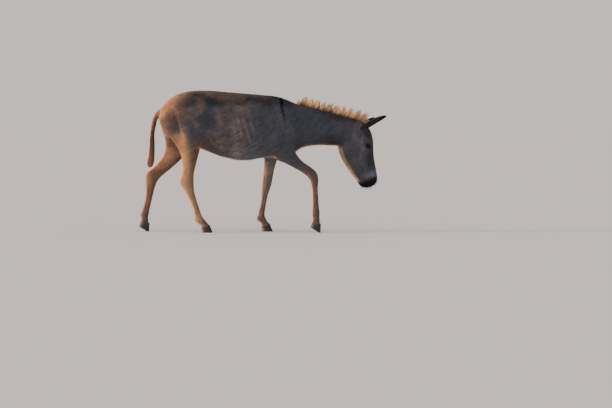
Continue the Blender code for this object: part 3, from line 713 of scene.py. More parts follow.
# %% [markdown]
# A tuft is a dart of four triangles: two points at its root, one on its ridge and one at its tip.
# It is thin, closed, and lies along the skin. A strand, for mane, tail and lashes, is a tapered
# three-sided tube that bends as it goes.

# %% Tufts and strands
PATCH = 0.003  # how much of the skin's unwrap each tuft or strand covers
DART = np.array(((0, 2, 1), (1, 2, 3), (0, 3, 2), (0, 1, 3)))  # root left, root right, ridge, tip
DART_UV = np.array(((-0.5, -0.5), (0.5, -0.5), (0.0, 0.0), (0.0, 0.5))) * PATCH
DART_TIP = (0.0, 0.0, 0.4, 1.0)  # how near the tip each corner of a dart counts
ROOT_SUNK = 0.0006  # how deep a dart's root lies in the skin
RIDGE_RUN, RIDGE_RISE, RIDGE_FULL = 0.32, 0.42, 0.28  # the ridge, as shares of run, rise and width


def hair_piece(name, corners, triangles, patch_uv, values, tip):
    """One mesh of many hairs. corners, triangles and patch_uv have a row for each hair."""
    spread = {key: np.repeat(value, corners.shape[1]) for key, value in values.items()}
    spread["tip"] = tip
    return mesh_piece(name, corners.reshape(-1, 3), triangles.reshape(-1, 3), patch_uv.reshape(-1, 2), spread)


def tufts(name, roots, normals, lie, length, lift, width, uv, values):
    """Darts at roots. lie is along the skin, and lift is how steeply each one leaves it."""
    across = np.cross(normals, lie) * (width / 2)[:, None]
    rise, run = (np.sin(lift) * length)[:, None], (np.cos(lift) * length)[:, None]
    sunk = roots - normals * ROOT_SUNK
    ridge = roots + lie * run * RIDGE_RUN + normals * (rise * RIDGE_RISE + RIDGE_FULL * width[:, None])
    tip = roots + lie * run + normals * rise
    corners = np.stack((sunk - across, sunk + across, ridge, tip), axis=1)
    triangles = DART + 4 * np.arange(len(roots))[:, None, None]
    patch_uv = uv[:, None, :] + DART_UV
    return hair_piece(name, corners, triangles, patch_uv, values, np.tile(DART_TIP, len(roots)))


def strands(name, roots, way, bend, length, width, uv, values, segments=4):
    """Tapered tubes that leave their roots along way and are carried off by bend."""
    reference = np.where(np.abs(way[:, 1:2]) > 0.8, (1.0, 0.0, 0.0), (0.0, 1.0, 0.0))
    first = unit(np.cross(way, reference))
    second = np.cross(way, first)
    corners, patch_uv, tip = [], [], []
    for step in range(segments):
        share = step / segments
        centre = roots + (way * share + bend * share**2) * length[:, None]
        half = (width / 2 * (1 - share) ** 0.6)[:, None]
        for turn in (0, math.tau / 3, 2 * math.tau / 3):
            corners.append(centre + (first * math.cos(turn) + second * math.sin(turn)) * half)
            patch_uv.append(uv + np.array((math.cos(turn) * 0.5, share - 0.5)) * PATCH)
            tip.append(np.full(len(roots), share))
    corners.append(roots + (way + bend) * length[:, None])
    patch_uv.append(uv + np.array((0.0, 0.5)) * PATCH)
    tip.append(np.ones(len(roots)))
    faces = [(0, 2, 1)]
    for low in range(0, 3 * (segments - 1), 3):
        for i, j in ((0, 1), (1, 2), (2, 0)):
            faces += [(low + i, low + j, low + 3 + j), (low + i, low + 3 + j, low + 3 + i)]
    low, last = 3 * (segments - 1), 3 * segments
    faces += [(low, low + 1, last), (low + 1, low + 2, last), (low + 2, low, last)]
    triangles = np.array(faces) + (last + 1) * np.arange(len(roots))[:, None, None]
    corners, patch_uv, tip = (np.stack(rows, axis=1) for rows in (corners, patch_uv, tip))
    return hair_piece(name, corners, triangles, patch_uv, values, tip.ravel())


# %% [markdown]
# Roots are scattered over a surface by area, then thinned so that no two share a small cell. That
# spreads them as evenly as real hair, and the cell's size follows the length of the hair.

# %% Roots on a surface
UNWRAP = "unwrap"
CLASS_STEP = 1.12  # spacings within this ratio of each other count as alike
CELLS = 8192  # how many cells the thinning can number along each axis
SIZE_CLASSES = 128


def unwrap(obj):
    """An unwrap of the surface's own shape, cut where it turns."""
    obj.data.uv_layers.new(name=UNWRAP)
    only(obj)
    bpy.ops.object.mode_set(mode="EDIT")
    bpy.ops.mesh.select_all(action="SELECT")
    bpy.ops.uv.smart_project(angle_limit=math.radians(66), island_margin=0.002)
    bpy.ops.object.mode_set(mode="OBJECT")


def roots_on(obj, coat_of, candidates, spacing_of, rng):
    """Even random roots: a dict of root, normal, uv, lie, length and lift."""
    mesh = obj.data
    mesh.calc_loop_triangles()
    count = len(mesh.loop_triangles)
    verts, loops = np.empty(count * 3, np.int32), np.empty(count * 3, np.int32)
    mesh.loop_triangles.foreach_get("vertices", verts)
    mesh.loop_triangles.foreach_get("loops", loops)
    verts, loops = verts.reshape(-1, 3), loops.reshape(-1, 3)
    uv = np.empty(len(mesh.loops) * 2, np.float32)
    mesh.uv_layers[UNWRAP].data.foreach_get("uv", uv)
    places, normals = places_of(mesh), normals_of(mesh)
    corner = places[verts]
    area = np.linalg.norm(np.cross(corner[:, 1] - corner[:, 0], corner[:, 2] - corner[:, 0]), axis=1)
    chosen = rng.choice(count, candidates, p=area / area.sum())
    share = rng.random((candidates, 2))
    share = np.where(share.sum(axis=1, keepdims=True) > 1, 1 - share, share)
    share = np.column_stack((1 - share.sum(axis=1), share))

    def mixed(values, corners):
        """The corners' values, each by its share in the place that was drawn."""
        weights = share.reshape(share.shape + (1,) * (values.ndim - 1))
        return (values[corners] * weights).sum(axis=1)

    lie, length, lift = coat_of(on_donkey(places))
    where = mixed(places, verts[chosen])
    kept = thinned(where, spacing_of(mixed(length, verts[chosen])))
    chosen, share, where = chosen[kept], share[kept], where[kept]
    normal = unit(mixed(normals, verts[chosen]))
    lie = mixed(lie, verts[chosen])
    lie = unit(lie - normal * (lie * normal).sum(axis=1, keepdims=True))
    return {
        "root": where,
        "normal": normal,
        "uv": mixed(uv.reshape(-1, 2), loops[chosen]),
        "lie": lie,
        "length": mixed(length, verts[chosen]),
        "lift": mixed(lift, verts[chosen]),
    }


def thinned(places, spacing):
    """Indices of places such that no two of like spacing share a cell of that size."""
    size_class = np.round(np.log(spacing) / math.log(CLASS_STEP)).astype(np.int64)
    cell = np.floor(places / (CLASS_STEP**size_class)[:, None]).astype(np.int64) + CELLS // 2
    key = ((cell[:, 0] * CELLS + cell[:, 1]) * CELLS + cell[:, 2]) * SIZE_CLASSES - size_class
    return np.sort(np.unique(key, return_index=True)[1])


unwrap(skin)
print("unwrapped", len(skin.data.polygons), "faces of skin")

# %% [markdown]
# ## Markings
# Each mark is a value over the donkey's body, worked out from the place alone. Not all of them are
# the coat's own colour: the bright edge is painted rim light, the glow of low back light along jaw,
# throat, belly and the right hind leg, and part of the dark is painted shade on the hip and along
# the top of the back. Skin and hair ask the same function, so a tuft always has the colour of the
# skin under it. A mark that fills an area is a sum of patches. The stripes and the painted rim light
# fade out from a line.

# %% Where the marks lie
STRIPE_TOP, STRIPE_FOOT = (0.165, 1.150), (0.205, 0.850)  # of the cross, in the side view
STRIPE_WIDTH, STRIPE_FRONT = 0.0095, 0.34
SPINE_WIDTH, SPINE_SPREAD = 0.012, 0.006  # along the back, and how much more on the croup
UNEVEN, UNEVEN_LENGTH = 0.0035, 0.060  # how far the marks' edges wander, and over what length
# Painted rim light: a bright orange line for the glow of low back light. It lies over the pale hair of jaw,
# throat and belly, and on the right (near) hind leg it is painted light alone.
RIM_LIGHT_LINES = (
    # a line in the side view, then how wide and how strong the painted rim light along it is, and its side
    (
        ((0.672, 0.712), (0.677, 0.668), (0.712, 0.584), (0.754, 0.511), (0.817, 0.427), (0.838, 0.395)),
        0.012, 1.0, BOTH,
    ),  # rear edge of the jaw
    (
        ((0.288, 0.689), (0.340, 0.715), (0.408, 0.731), (0.533, 0.738), (0.649, 0.731)),
        0.008, 1.0, BOTH,
    ),  # breast and throat
    (
        ((-0.517, 0.710), (-0.422, 0.657), (-0.307, 0.630), (-0.223, 0.615), (-0.118, 0.611),
         (0.008, 0.626), (0.113, 0.637)),
        0.011, 1.0, BOTH,
    ),  # belly
    (
        ((-0.670, 0.800), (-0.635, 0.680), (-0.630, 0.490), (-0.640, 0.416), (-0.605, 0.290),
         (-0.535, 0.110)),
        0.046, 0.7, RIGHT,
    ),  # right hind leg
)
MARK_PATCHES = {
    # for each mark, its patches: strength, centre, radii, lift and sides
    "pale": (
        (2.2, (-0.120, 0.0, 0.560), (0.420, 0.190, 0.125), 0, MIDDLE),  # belly
        (2.2, (-0.600, 0.030, 0.740), (0.190, 0.105, 0.190), 0, MIDDLE),  # groin
        (2.2, (0.100, 0.0, 0.600), (0.200, 0.120, 0.110), 0, MIDDLE),  # between the forelegs
        (2.0, (-0.840, 0.030, 0.860), (0.090, 0.090, 0.150), 0, MIDDLE),  # buttock
        (2.4, (0.740, 0.0, 0.560), (0.130, 0.060, 0.200), -60, MIDDLE),  # jaw
        (1.6, (0.660, 0.0, 0.715), (0.110, 0.060, 0.050), 0, MIDDLE),  # throat
    ),
    "dark": (
        (1.0, (0.895, 0.0, 0.700), (0.090, 0.130, 0.290), 10, MIDDLE),  # face
        (0.5, (0.870, 0.0, 0.830), (0.070, 0.140, 0.100), 0, MIDDLE),  # brow
        # The hip patch is painted shade.
        (0.28, (-0.500, 0.0, 0.970), (0.240, 0.300, 0.190), 0, MIDDLE),  # hip
        (0.6, (0.640, 0.0, 0.960), (0.300, 0.100, 0.050), -16, MIDDLE),  # upper edge of the neck
        (0.4, (0.600, 0.0, 0.760), (0.180, 0.160, 0.090), 0, MIDDLE),  # underside of the neck
    ),
    "band": (
        (0.6, (EYE_X - 0.008, 0.090, EYE_Z - 0.006), (0.060, 0.060, 0.050), 40, BOTH),  # round the eye
        (1.1, (-0.120, 0.0, 0.650), (0.420, 0.460, 0.175), 0, MIDDLE),  # low on the ribs
        (0.45, (0.200, 0.150, 0.880), (0.170, 0.120, 0.180), 0, BOTH),  # shoulder blade
        (0.45, (0.560, 0.110, 0.900), (0.160, 0.100, 0.080), -16, BOTH),  # side of the neck
    ),
    "rufous": (
        (1.15, (-0.76, 0.0, 1.02), (0.24, 0.30, 0.30), 0, MIDDLE),  # rump
        (2.0, (-0.65, 0.0, 0.42), (0.50, 0.60, 0.50), 0, MIDDLE),  # hind legs
        (0.8, (-0.93, 0.0, 0.75), (0.10, 0.08, 0.40), 0, MIDDLE),  # round the tail
        (0.6, (0.42, 0.0, 0.40), (0.20, 0.30, 0.30), 0, MIDDLE),  # right foreleg
        (0.5, (0.78, 0.0, 0.93), (0.14, 0.10, 0.08), 0, MIDDLE),  # poll
    ),
}
NOSE_BAND = ((0.925, 0.0, 0.492), (0.105, 0.200, 0.040), 14, MIDDLE)
EYE_RIM = ((EYE_X + 0.006, 0.095, EYE_Z + 0.007), (0.042, 0.060, 0.028), -45)


def painted_rim_light(places):
    """Strength of the painted rim light along jaw, throat, belly and the right hind leg."""
    strength = np.zeros(len(places))
    for line, width, most, sides in RIM_LIGHT_LINES:
        away = np.full(len(places), FAR)
        for start, end in zip(line, line[1:]):
            across, share = along_line(places, start, end)
            past_end = np.maximum(-share, share - 1).clip(0) * math.dist(start, end)
            away = np.minimum(away, np.hypot(across, past_end))
        on_side = 1 if sides == BOTH else places[:, 1] * sides[0] > 0.02
        strength = np.maximum(strength, most * bell(away, width) * on_side)
    return strength


def patches_of(mark, places):
    """The summed strength of a mark's patches."""
    return sum(strength * patch(places, *where) for strength, *where in MARK_PATCHES[mark])


def markings(places):
    """The strength of each mark, 0 to 1, at places on the donkey's axes."""
    x, y, z = places.T
    uneven = UNEVEN * ripple(places, UNEVEN_LENGTH, 11)
    away, share = along_line(places, STRIPE_TOP, STRIPE_FOOT)
    cross = bell(away + uneven, STRIPE_WIDTH) * smooth_step(1.05, 0.55, share) * (z > 0.6)
    cross *= (x > 0) & (x < STRIPE_FRONT)
    croup = patch(places, (-0.75, 0, 1.10), (0.2, 0.2, 0.3), sides=MIDDLE)
    spine = bell(y + 0.4 * uneven, SPINE_WIDTH + SPINE_SPREAD * croup)
    spine *= smooth_step(1.03, 1.10, z) * (x < 0.25)
    # Painted shade: the top of the back, from the croup forward, is darkened.
    painted_top_shade = smooth_step(1.03, 1.10, z) * smooth_step(-0.80, -0.60, x)
    inner_leg = smooth_step(0.100, 0.070, np.abs(y)) * smooth_step(0.72, 0.58, z) * (x < 0.6)
    legs = smooth_step(0.60, 0.30, z) * (x < 0.7)
    tail = (x < -0.865) & (np.abs(y) < 0.055) & (z > 0.52) & (z < 1.0)
    tip = smooth_step(0.486, 0.436, z + 0.3 * (0.95 - x) + 2.5 * uneven) * (x > 0.7)
    nose_band, eye_rim = patch(places, *NOSE_BAND), patch(places, *EYE_RIM)
    pale = patches_of("pale", places) + 0.75 * inner_leg
    # dark adds the cross, the spine, the eye rim and the dark patches, and also painted shade on the hip and
    # the top of the back.
    dark = patches_of("dark", places) + cross + 0.8 * spine + 1.2 * eye_rim + 0.55 * painted_top_shade
    band = patches_of("band", places) + 1.1 * nose_band * (x > 0.75)
    rufous = patches_of("rufous", places) + tail + 0.5 * legs
    return {
        "pale": np.clip(pale, 0, 1) * (1 - 0.5 * legs * (z < 0.2)) * ~tail,
        "dark": np.clip(dark, 0, 1) * (1 - nose_band),
        # edge is painted rim light.
        "edge": painted_rim_light(places) * ~tail,
        "band": np.clip(band, 0, 1) * (1 - tip) * np.clip(1 - 3 * eye_rim, 0, 1),
        "muzzle": tip,
        "rufous": np.clip(rufous, 0, 1),
    }


STREAK_WAY, STREAK_DRAWN = np.array((-0.86, 0.0, -0.51)), 0.72  # on the trunk, and how far drawn out
SKIN_TIP = 0.15  # skin is coloured as hair is a little above its root


def streaks(places):
    """Uneven hair: long soft streaks that run with the lie, and finer ones within them."""
    drawn = places - STREAK_DRAWN * (places @ STREAK_WAY)[:, None] * STREAK_WAY
    upright = places * (1, 1, 0.3)
    on_legs = smooth_step(0.62, 0.50, places[:, 2]) + smooth_step(0.72, 0.80, places[:, 0])
    coarse = np.where(on_legs > 0.5, ripple(upright, 0.030, 3), ripple(drawn, 0.042, 4))
    fine = np.where(on_legs > 0.5, ripple(upright, 0.010, 5), ripple(drawn, 0.016, 6))
    return 0.55 * coarse + 0.45 * fine


skin_places = on_donkey(places_of(skin.data))
set_values(skin.data, markings(skin_places))
set_values(skin.data, {"shade": 0.5 * streaks(skin_places), "tip": np.full(len(skin_places), SKIN_TIP)})

# %% [markdown]
# ## The coat
# With guides, roots and markings at hand, the coat grows in one go and is dealt out to pieces by
# region, so that no piece gets too heavy. Bare skin stays bare: lid margins, the inside of the
# nostrils, the line of the mouth, and what is inside the hooves.

# %% Growing the coat
REGIONS = (
    # name, which places belong to it
    ("coat_head", lambda x, y, z: x > 0.72 - 0.28 * (z - 0.75)),
    ("coat_neck", lambda x, y, z: x > 0.36),
    ("coat_shoulders", lambda x, y, z: (x > 0.02) & (z > 0.60)),
    ("coat_forelegs", lambda x, y, z: (x > -0.10) & (z <= 0.60)),
    ("coat_barrel", lambda x, y, z: x > -0.42),
    ("coat_rump", lambda x, y, z: z > 0.84),
    ("coat_hindlegs", lambda x, y, z: z <= 0.84),
)
CANDIDATES = 1_400_000
MOST_TUFTS = 48_000  # in one piece
TAIL_HAIR_FROM, TAIL_HAIR_TO = (-0.990, -0.050, 0.530), (-0.862, 0.050, 0.930)  # where it grows long
TAIL_SHORT_TO = 0.860  # above this the tail keeps its short coat too
GROWN = ("root", "normal", "lie", "length", "lift")  # what a tuft needs, in this order
SPACING_LEAST, SPACING_BY_LENGTH = 0.0010, 0.175
WIDTH_LEAST, WIDTH_BY_LENGTH = 0.0007, 0.125
HEAD_FROM, WIDER_ON_HEAD = 0.72, 0.0004
HOOF_HEIGHT, IN_HORN = 0.10, -0.001  # roots this low are tested, and this deep in horn are dropped
rng = np.random.default_rng(7)


def inside_hoof(roots):
    """Whether each root is inside the horn of a hoof."""
    found = np.zeros(len(roots), bool)
    graph = bpy.context.evaluated_depsgraph_get()
    surfaces = [BVHTree.FromObject(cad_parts[name], graph) for name in HOOVES]
    for i in np.flatnonzero(roots[:, 2] < HOOF_HEIGHT):
        for surface in surfaces:
            place, normal, _, _ = surface.find_nearest(roots[i], 0.05)
            if place is not None and (Vector(roots[i]) - place).dot(normal) < IN_HORN:
                found[i] = True
    return found


def bare(places):
    """Skin without hair, on the donkey's axes."""
    mouth = np.abs(mouth_level(places)) < LIP_GROOVE_WIDTH
    return (lid_level(places) < OUTER_RIM + 0.03) | (nostril_level(places) < 0.15) | mouth


def chosen_of(table, chosen):
    """The chosen rows of a dict of arrays."""
    return {key: value[chosen] for key, value in table.items()}


def spacing(length):
    return SPACING_LEAST + SPACING_BY_LENGTH * length


coat = roots_on(skin, coat_at, CANDIDATES, spacing, rng)
coat = chosen_of(coat, ~bare(on_donkey(coat["root"])) & ~inside_hoof(coat["root"]))
places = on_donkey(coat["root"])
on_tail = np.all((places > TAIL_HAIR_FROM) & (places < TAIL_HAIR_TO), axis=1)
tail_roots = chosen_of(coat, on_tail)
short = ~on_tail | (places[:, 2] > TAIL_SHORT_TO)
coat, places = chosen_of(coat, short), places[short]
count = len(places)
streak = streaks(places)
swirl = 0.30 * ripple(places, 0.090, 21) + 0.20 * ripple(places, 0.022, 22) + rng.normal(0, 0.13, count)
aside = np.cross(coat["normal"], coat["lie"])
coat["lie"] = coat["lie"] * np.cos(swirl)[:, None] + aside * np.sin(swirl)[:, None]
coat["length"] = coat["length"] * rng.uniform(0.75, 1.2, count)
coat["lift"] = coat["lift"] * np.clip(rng.normal(0.85, 0.28, count) + 0.15 * streak, 0.25, 1.5)
width = WIDTH_LEAST + WIDTH_BY_LENGTH * coat["length"] + WIDER_ON_HEAD * (places[:, 0] > HEAD_FROM)
values = markings(places)
values["shade"] = np.clip(0.40 * streak + rng.normal(0, 0.33, count), -1, 1)
left_over = np.ones(count, bool)
coat_pieces = []
for name, belongs in REGIONS:
    chosen = np.flatnonzero(left_over & belongs(*places.T))
    left_over[chosen] = False
    if len(chosen) > MOST_TUFTS:
        chosen = np.sort(rng.choice(chosen, MOST_TUFTS, replace=False))
    picked = [coat[key][chosen] for key in GROWN]
    piece = tufts(name, *picked, width[chosen], coat["uv"][chosen], chosen_of(values, chosen))
    coat_pieces.append(piece)

# %% [markdown]
# ## Ears
# An ear is a curled leaf of gristle, thin at its rim. The solid already has that shape, so its
# copy is remeshed finely and eased, and its root is drawn down into the head, under the hair.
# Angles round the leaf tell its inside from its outside and its rim from its back.

# %% Ear surfaces
EAR_ROOT, EAR_LENGTH = (0.842, 0.050, 0.880), 0.232
EAR_AIM = {"right": (0.90, -0.20, 0.41), "left": (0.48, 0.82, 0.31)}  # where the tip points
EAR_FACING = {"right": (0.25, -0.50, -0.80), "left": (0.75, -0.15, -0.60)}  # where it opens
EAR_CELL, EAR_SUNK, EAR_INSET = 0.0024, 0.020, 0.0008
EAR_ARC_AT, EAR_ARC = (0.0, 0.26, 0.50, 0.88, 1.0), (150, 104, 88, 70, 60)  # half the leaf, in degrees
EAR_RIBS, EAR_RIB_RISE = 2.5, 0.0007
EAR_CANDIDATES, LINING_HAIRS, LINING_WIDTH = 120_000, 520, 0.0009


def ear_axes(side):
    """An ear's root on the donkey's axes, and the ways to its tip, to its opening and across."""
    aim = Vector(EAR_AIM[side]).normalized()
    facing = Vector(EAR_FACING[side])
    facing = (facing - aim * facing.dot(aim)).normalized()
    root = Vector((EAR_ROOT[0], SIDES[side] * EAR_ROOT[1], EAR_ROOT[2]))
    return np.array(root), np.array(aim), np.array(facing), np.array(aim.cross(facing))


def ear_places(places, normals, side):
    """Share of the ear's length, 1 at its rims and 0 at its back, and 1 on its inner side."""
    root, aim, facing, across = ear_axes(side)
    share = (places - root) @ aim / EAR_LENGTH
    offset = places - root - aim * (share * EAR_LENGTH)[:, None] - facing * 0.012
    turn = np.abs(np.arctan2(offset @ across, -(offset @ facing)))
    half_arc = np.interp(share, EAR_ARC_AT, np.radians(EAR_ARC))
    inner = smooth_step(0.0, 0.35, -(unit(offset) * normals).sum(axis=1))
    return share, turn / half_arc, inner


def ear_marks(share, around, inner):
    """The values that an ear's finish reads."""
    return {"inner": inner, "rim": smooth_step(0.62, 0.95, around), "along": np.clip(share, 0, 1)}


def ear_surface(side):
    ear = copy_of_solid("ear_" + side)
    ear.name = ear.data.name = f"ear_{side}_skin"
    root, aim, _, _ = ear_axes(side)
    places = places_of(ear.data)
    share = (on_donkey(places) - root) @ aim / EAR_LENGTH
    move_to(ear.data, places - aim * (EAR_SUNK * smooth_step(0.22, 0.05, share))[:, None])
    modifier(ear, "REMESH", mode="VOXEL", voxel_size=EAR_CELL)
    modifier(ear, "DISPLACE", strength=-EAR_INSET, mid_level=0.0)
    apply_modifiers(ear)
    ease(ear, rounds=10)
    ear.data.shade_smooth()
    share, around, inner = ear_places(on_donkey(places_of(ear.data)), normals_of(ear.data), side)
    ribs = np.cos(around * math.tau * EAR_RIBS) * smooth_step(0.95, 0.75, share) * inner
    sculpt(ear, lambda places: EAR_RIB_RISE * ribs)
    set_values(ear.data, ear_marks(share, around, inner))
    streak = streaks(on_donkey(places_of(ear.data)))
    set_values(ear.data, {"shade": 0.4 * streak, "tip": np.full(len(share), SKIN_TIP)})
    unwrap(ear)
    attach(ear, "root")
    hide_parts("ear_" + side)
    return ear


def ear_hair(side, ear):
    """Short hair towards the tip, outside and in, and longer pale hair along the rims."""
    _, aim, facing, _ = ear_axes(side)

    def coat_of(places):
        share, _, inner = ear_places(places, normals_of(ear.data), side)
        lie = np.tile(aim, (len(places), 1)) + 0.25 * inner[:, None] * facing
        length = 0.0058 - 0.0018 * inner + 0.003 * smooth_step(0.2, 0.0, share)
        return lie, length, np.radians(12 + 14 * inner)

    coat = roots_on(ear, coat_of, EAR_CANDIDATES, lambda length: 0.0013 + 0.20 * length, rng)
    places = on_donkey(coat["root"])
    share, around, inner = ear_places(places, coat["normal"], side)
    count = len(share)
    marks = ear_marks(share, around, inner)
    marks["shade"] = np.clip(0.5 * streaks(places) + rng.normal(0, 0.3, count), -1, 1)
    coat["length"] = coat["length"] * rng.uniform(0.7, 1.2, count)
    coat["length"] *= 1 - 0.35 * smooth_step(0.9, 1.0, share)
    grown = [coat[key] for key in GROWN]
    piece = tufts(f"ear_{side}_coat", *grown, 0.0006 + 0.13 * coat["length"], coat["uv"], marks)
    lining = np.flatnonzero((inner > 0.6) & (share < 0.72) & (share > 0.02) & (around < 0.98))
    lining = rng.choice(lining, LINING_HAIRS, replace=False)
    normal = coat["normal"][lining]
    way = unit(0.75 * normal + 0.55 * aim + 0.35 * facing + rng.normal(0, 0.12, (LINING_HAIRS, 3)))
    bend = 0.45 * aim - 0.25 * normal + rng.normal(0, 0.08, (LINING_HAIRS, 3))
    length = rng.uniform(0.010, 0.020, LINING_HAIRS) * (1.1 - share[lining])
    width = np.full(LINING_HAIRS, LINING_WIDTH)
    name, roots, uv = f"ear_{side}_lining", coat["root"][lining], coat["uv"][lining]
    hair = strands(name, roots, way, bend, length, width, uv, chosen_of(marks, lining), segments=3)
    return piece, hair


ear_skins, ear_coats = [], []
for side in SIDES:
    ear_skins.append(ear_surface(side))
    ear_coats += ear_hair(side, ear_skins[-1])

# %% [markdown]
# ## Mane
# A donkey's mane stands up like a brush and parts into spikes where the neck bends. Strands stand
# along the crest, each drawn towards the tip of its own spike, and the spikes lean forward more
# and more towards the ears.

# %% The crest and its spikes
CREST = (  # the neck's upper edge in the side view
    (0.296, 1.080), (0.390, 1.053), (0.500, 1.024), (0.610, 0.997),
    (0.710, 0.968), (0.790, 0.942), (0.835, 0.925), (0.868, 0.898),
)
MANE_HEIGHT, MANE_HALF_WIDTH = 0.094, 0.015
SPIKE_SPACING = 0.055  # of the tallest spikes along the crest, with about three lower ones in between
FIRST_SPIKE, EVEN_HEIGHT, HEIGHT_WAVE = 0.004, 0.91, 0.09
CREST_STEP = 0.030  # the crest's slope is taken over this far on both sides of a place
MANE_STRANDS, STRAND_WIDTH = 7200, (0.0014, 0.0024)
MANE_SUNK, SUNK_ASIDE = 0.014, 0.012  # how deep its roots lie under the crest, and more at the sides
GATHER = (0.35, 0.85)  # the smaller, the more a strand's tip is drawn to its own spike


def crest_at(distance):
    """Places on the crest at distances along it, and the way straight up from it."""
    line = np.array(CREST)
    steps = np.linalg.norm(np.diff(line, axis=0), axis=1)
    so_far = np.concatenate(((0,), np.cumsum(steps)))

    def point(distance):
        return [np.interp(distance, so_far, line[:, i]) for i in (0, 1)]

    x, z = point(distance)
    ahead_x, ahead_z = point(distance + CREST_STEP)
    behind_x, behind_z = point(distance - CREST_STEP)
    rise = unit(np.column_stack((behind_z - ahead_z, np.zeros(len(x)), ahead_x - behind_x)))
    return np.column_stack((x, np.zeros(len(x)), z)), rise, so_far[-1]


def nearest_uv(places):
    """The skin's own UV at the vertices nearest to places in the frame."""
    mesh = skin.data
    uv = np.zeros((len(mesh.vertices), 2))
    loop_uv = np.empty(len(mesh.loops) * 2, np.float32)
    mesh.uv_layers[UNWRAP].data.foreach_get("uv", loop_uv)
    loop_verts = np.empty(len(mesh.loops), np.int32)
    mesh.loops.foreach_get("vertex_index", loop_verts)
    uv[loop_verts] = loop_uv.reshape(-1, 2)
    tree = BVHTree.FromPolygons([v.co for v in mesh.vertices], [p.vertices for p in mesh.polygons])
    faces = [tree.find_nearest(place)[2] for place in places]
    return uv[[mesh.polygons[i].vertices[0] for i in faces]]


def spikes_of(crest_length):
    """Where the spikes stand along the crest, how tall each one is, and its shade."""
    spikes = []
    distance = FIRST_SPIKE
    while distance < crest_length:
        spikes.append(distance)
        distance += SPIKE_SPACING / 4 * rng.uniform(0.75, 1.3)
    spikes = np.array(spikes)
    share = spikes / crest_length
    wave = EVEN_HEIGHT + HEIGHT_WAVE * np.cos(math.tau * spikes / SPIKE_SPACING)
    height = MANE_HEIGHT * wave * np.minimum(1, np.minimum(0.30 + share * 10, 0.60 + (1 - share) * 6))
    height *= rng.uniform(0.88, 1.08, len(spikes)) * (1 + 0.22 * smooth_step(0.55, 0.85, share))
    return spikes, height, rng.normal(0, 0.35, len(spikes))


def mane():
    """Strands along the whole crest, in one piece."""
    crest_length = crest_at(np.zeros(1))[2]
    spikes, spike_height, spike_shade = spikes_of(crest_length)
    share = spikes / crest_length
    tallest = np.round(spikes / SPIKE_SPACING) * SPIKE_SPACING
    at = rng.uniform(0, crest_length, MANE_STRANDS)
    mine = np.abs(at[:, None] - spikes + rng.normal(0, 0.003, (MANE_STRANDS, 1))).argmin(axis=1)
    aside = rng.uniform(-1, 1, MANE_STRANDS)
    aside = np.sign(aside) * np.abs(aside) ** 1.2
    place, rise, _ = crest_at(at)
    sunk = MANE_SUNK + SUNK_ASIDE * np.abs(aside)
    roots = place - rise * sunk[:, None]
    roots[:, 1] += aside * MANE_HALF_WIDTH
    gather = rng.uniform(*GATHER, MANE_STRANDS)
    drawn = spikes + 0.25 * (tallest - spikes)
    tip_place, tip_rise, _ = crest_at(drawn[mine] + (at - spikes[mine]) * gather)
    lean = (0.25 + 0.45 * share[mine] ** 3) * share[mine]
    upward = unit(tip_rise + np.column_stack((lean, np.zeros(MANE_STRANDS), np.zeros(MANE_STRANDS))))
    edge = np.abs(at - spikes[mine]) / (SPIKE_SPACING / 8)
    height = spike_height[mine] * (1 - 0.22 * np.minimum(edge, 1.5) ** 2)
    height *= rng.uniform(0.74, 1.0, MANE_STRANDS)
    tips = tip_place + upward * height[:, None]
    tips[:, 1] = aside * MANE_HALF_WIDTH * 0.30 + rng.normal(0, 0.0015, MANE_STRANDS)
    reach = np.linalg.norm(tips - roots, axis=1)
    way = unit(rise + rng.normal(0, 0.10, (MANE_STRANDS, 3)))
    bend = (tips - roots) / reach[:, None] - way
    roots = roots + np.array(origin)
    # Strands near a spike's edges are made darker: painted shade in the gaps between spikes.
    shade = 0.35 + spike_shade[mine] - 0.9 * edge**2 + rng.normal(0, 0.25, MANE_STRANDS)
    values = {"shade": np.clip(shade, -1.1, 1), "along": at / crest_length}
    width = rng.uniform(*STRAND_WIDTH, MANE_STRANDS)
    piece = strands("mane_hair", roots, way, bend, reach, width, nearest_uv(roots), values, segments=3)
    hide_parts("mane")
    return piece


mane_hair = mane()

# %% [markdown]
# ## Tail
# Long hair starts below the root of the tail and hangs down it, close together, so that the lower
# third becomes a tassel. Its roots were kept aside when the coat grew.

# %% Hair of the tail
TAIL_STRANDS, TAIL_STRAND_WIDTH = 2600, (0.0014, 0.0026)
TAIL_AXIS = (  # height, x of the axis, half width, from the tassel's end upwards
    (0.546, -0.938, 0.004), (0.560, -0.937, 0.014), (0.585, -0.933, 0.023), (0.610, -0.929, 0.026),
    (0.665, -0.920, 0.026), (0.740, -0.917, 0.022), (0.830, -0.915, 0.019), (0.950, -0.890, 0.022),
)
TAIL_LENGTH_AT, TAIL_LENGTH = (0.60, 0.78, 0.93), (0.090, 0.100, 0.022)  # by the root's height
TASSEL_END_FROM, TASSEL_END_TO = 0.547, 0.597  # heights between which the longest hairs end


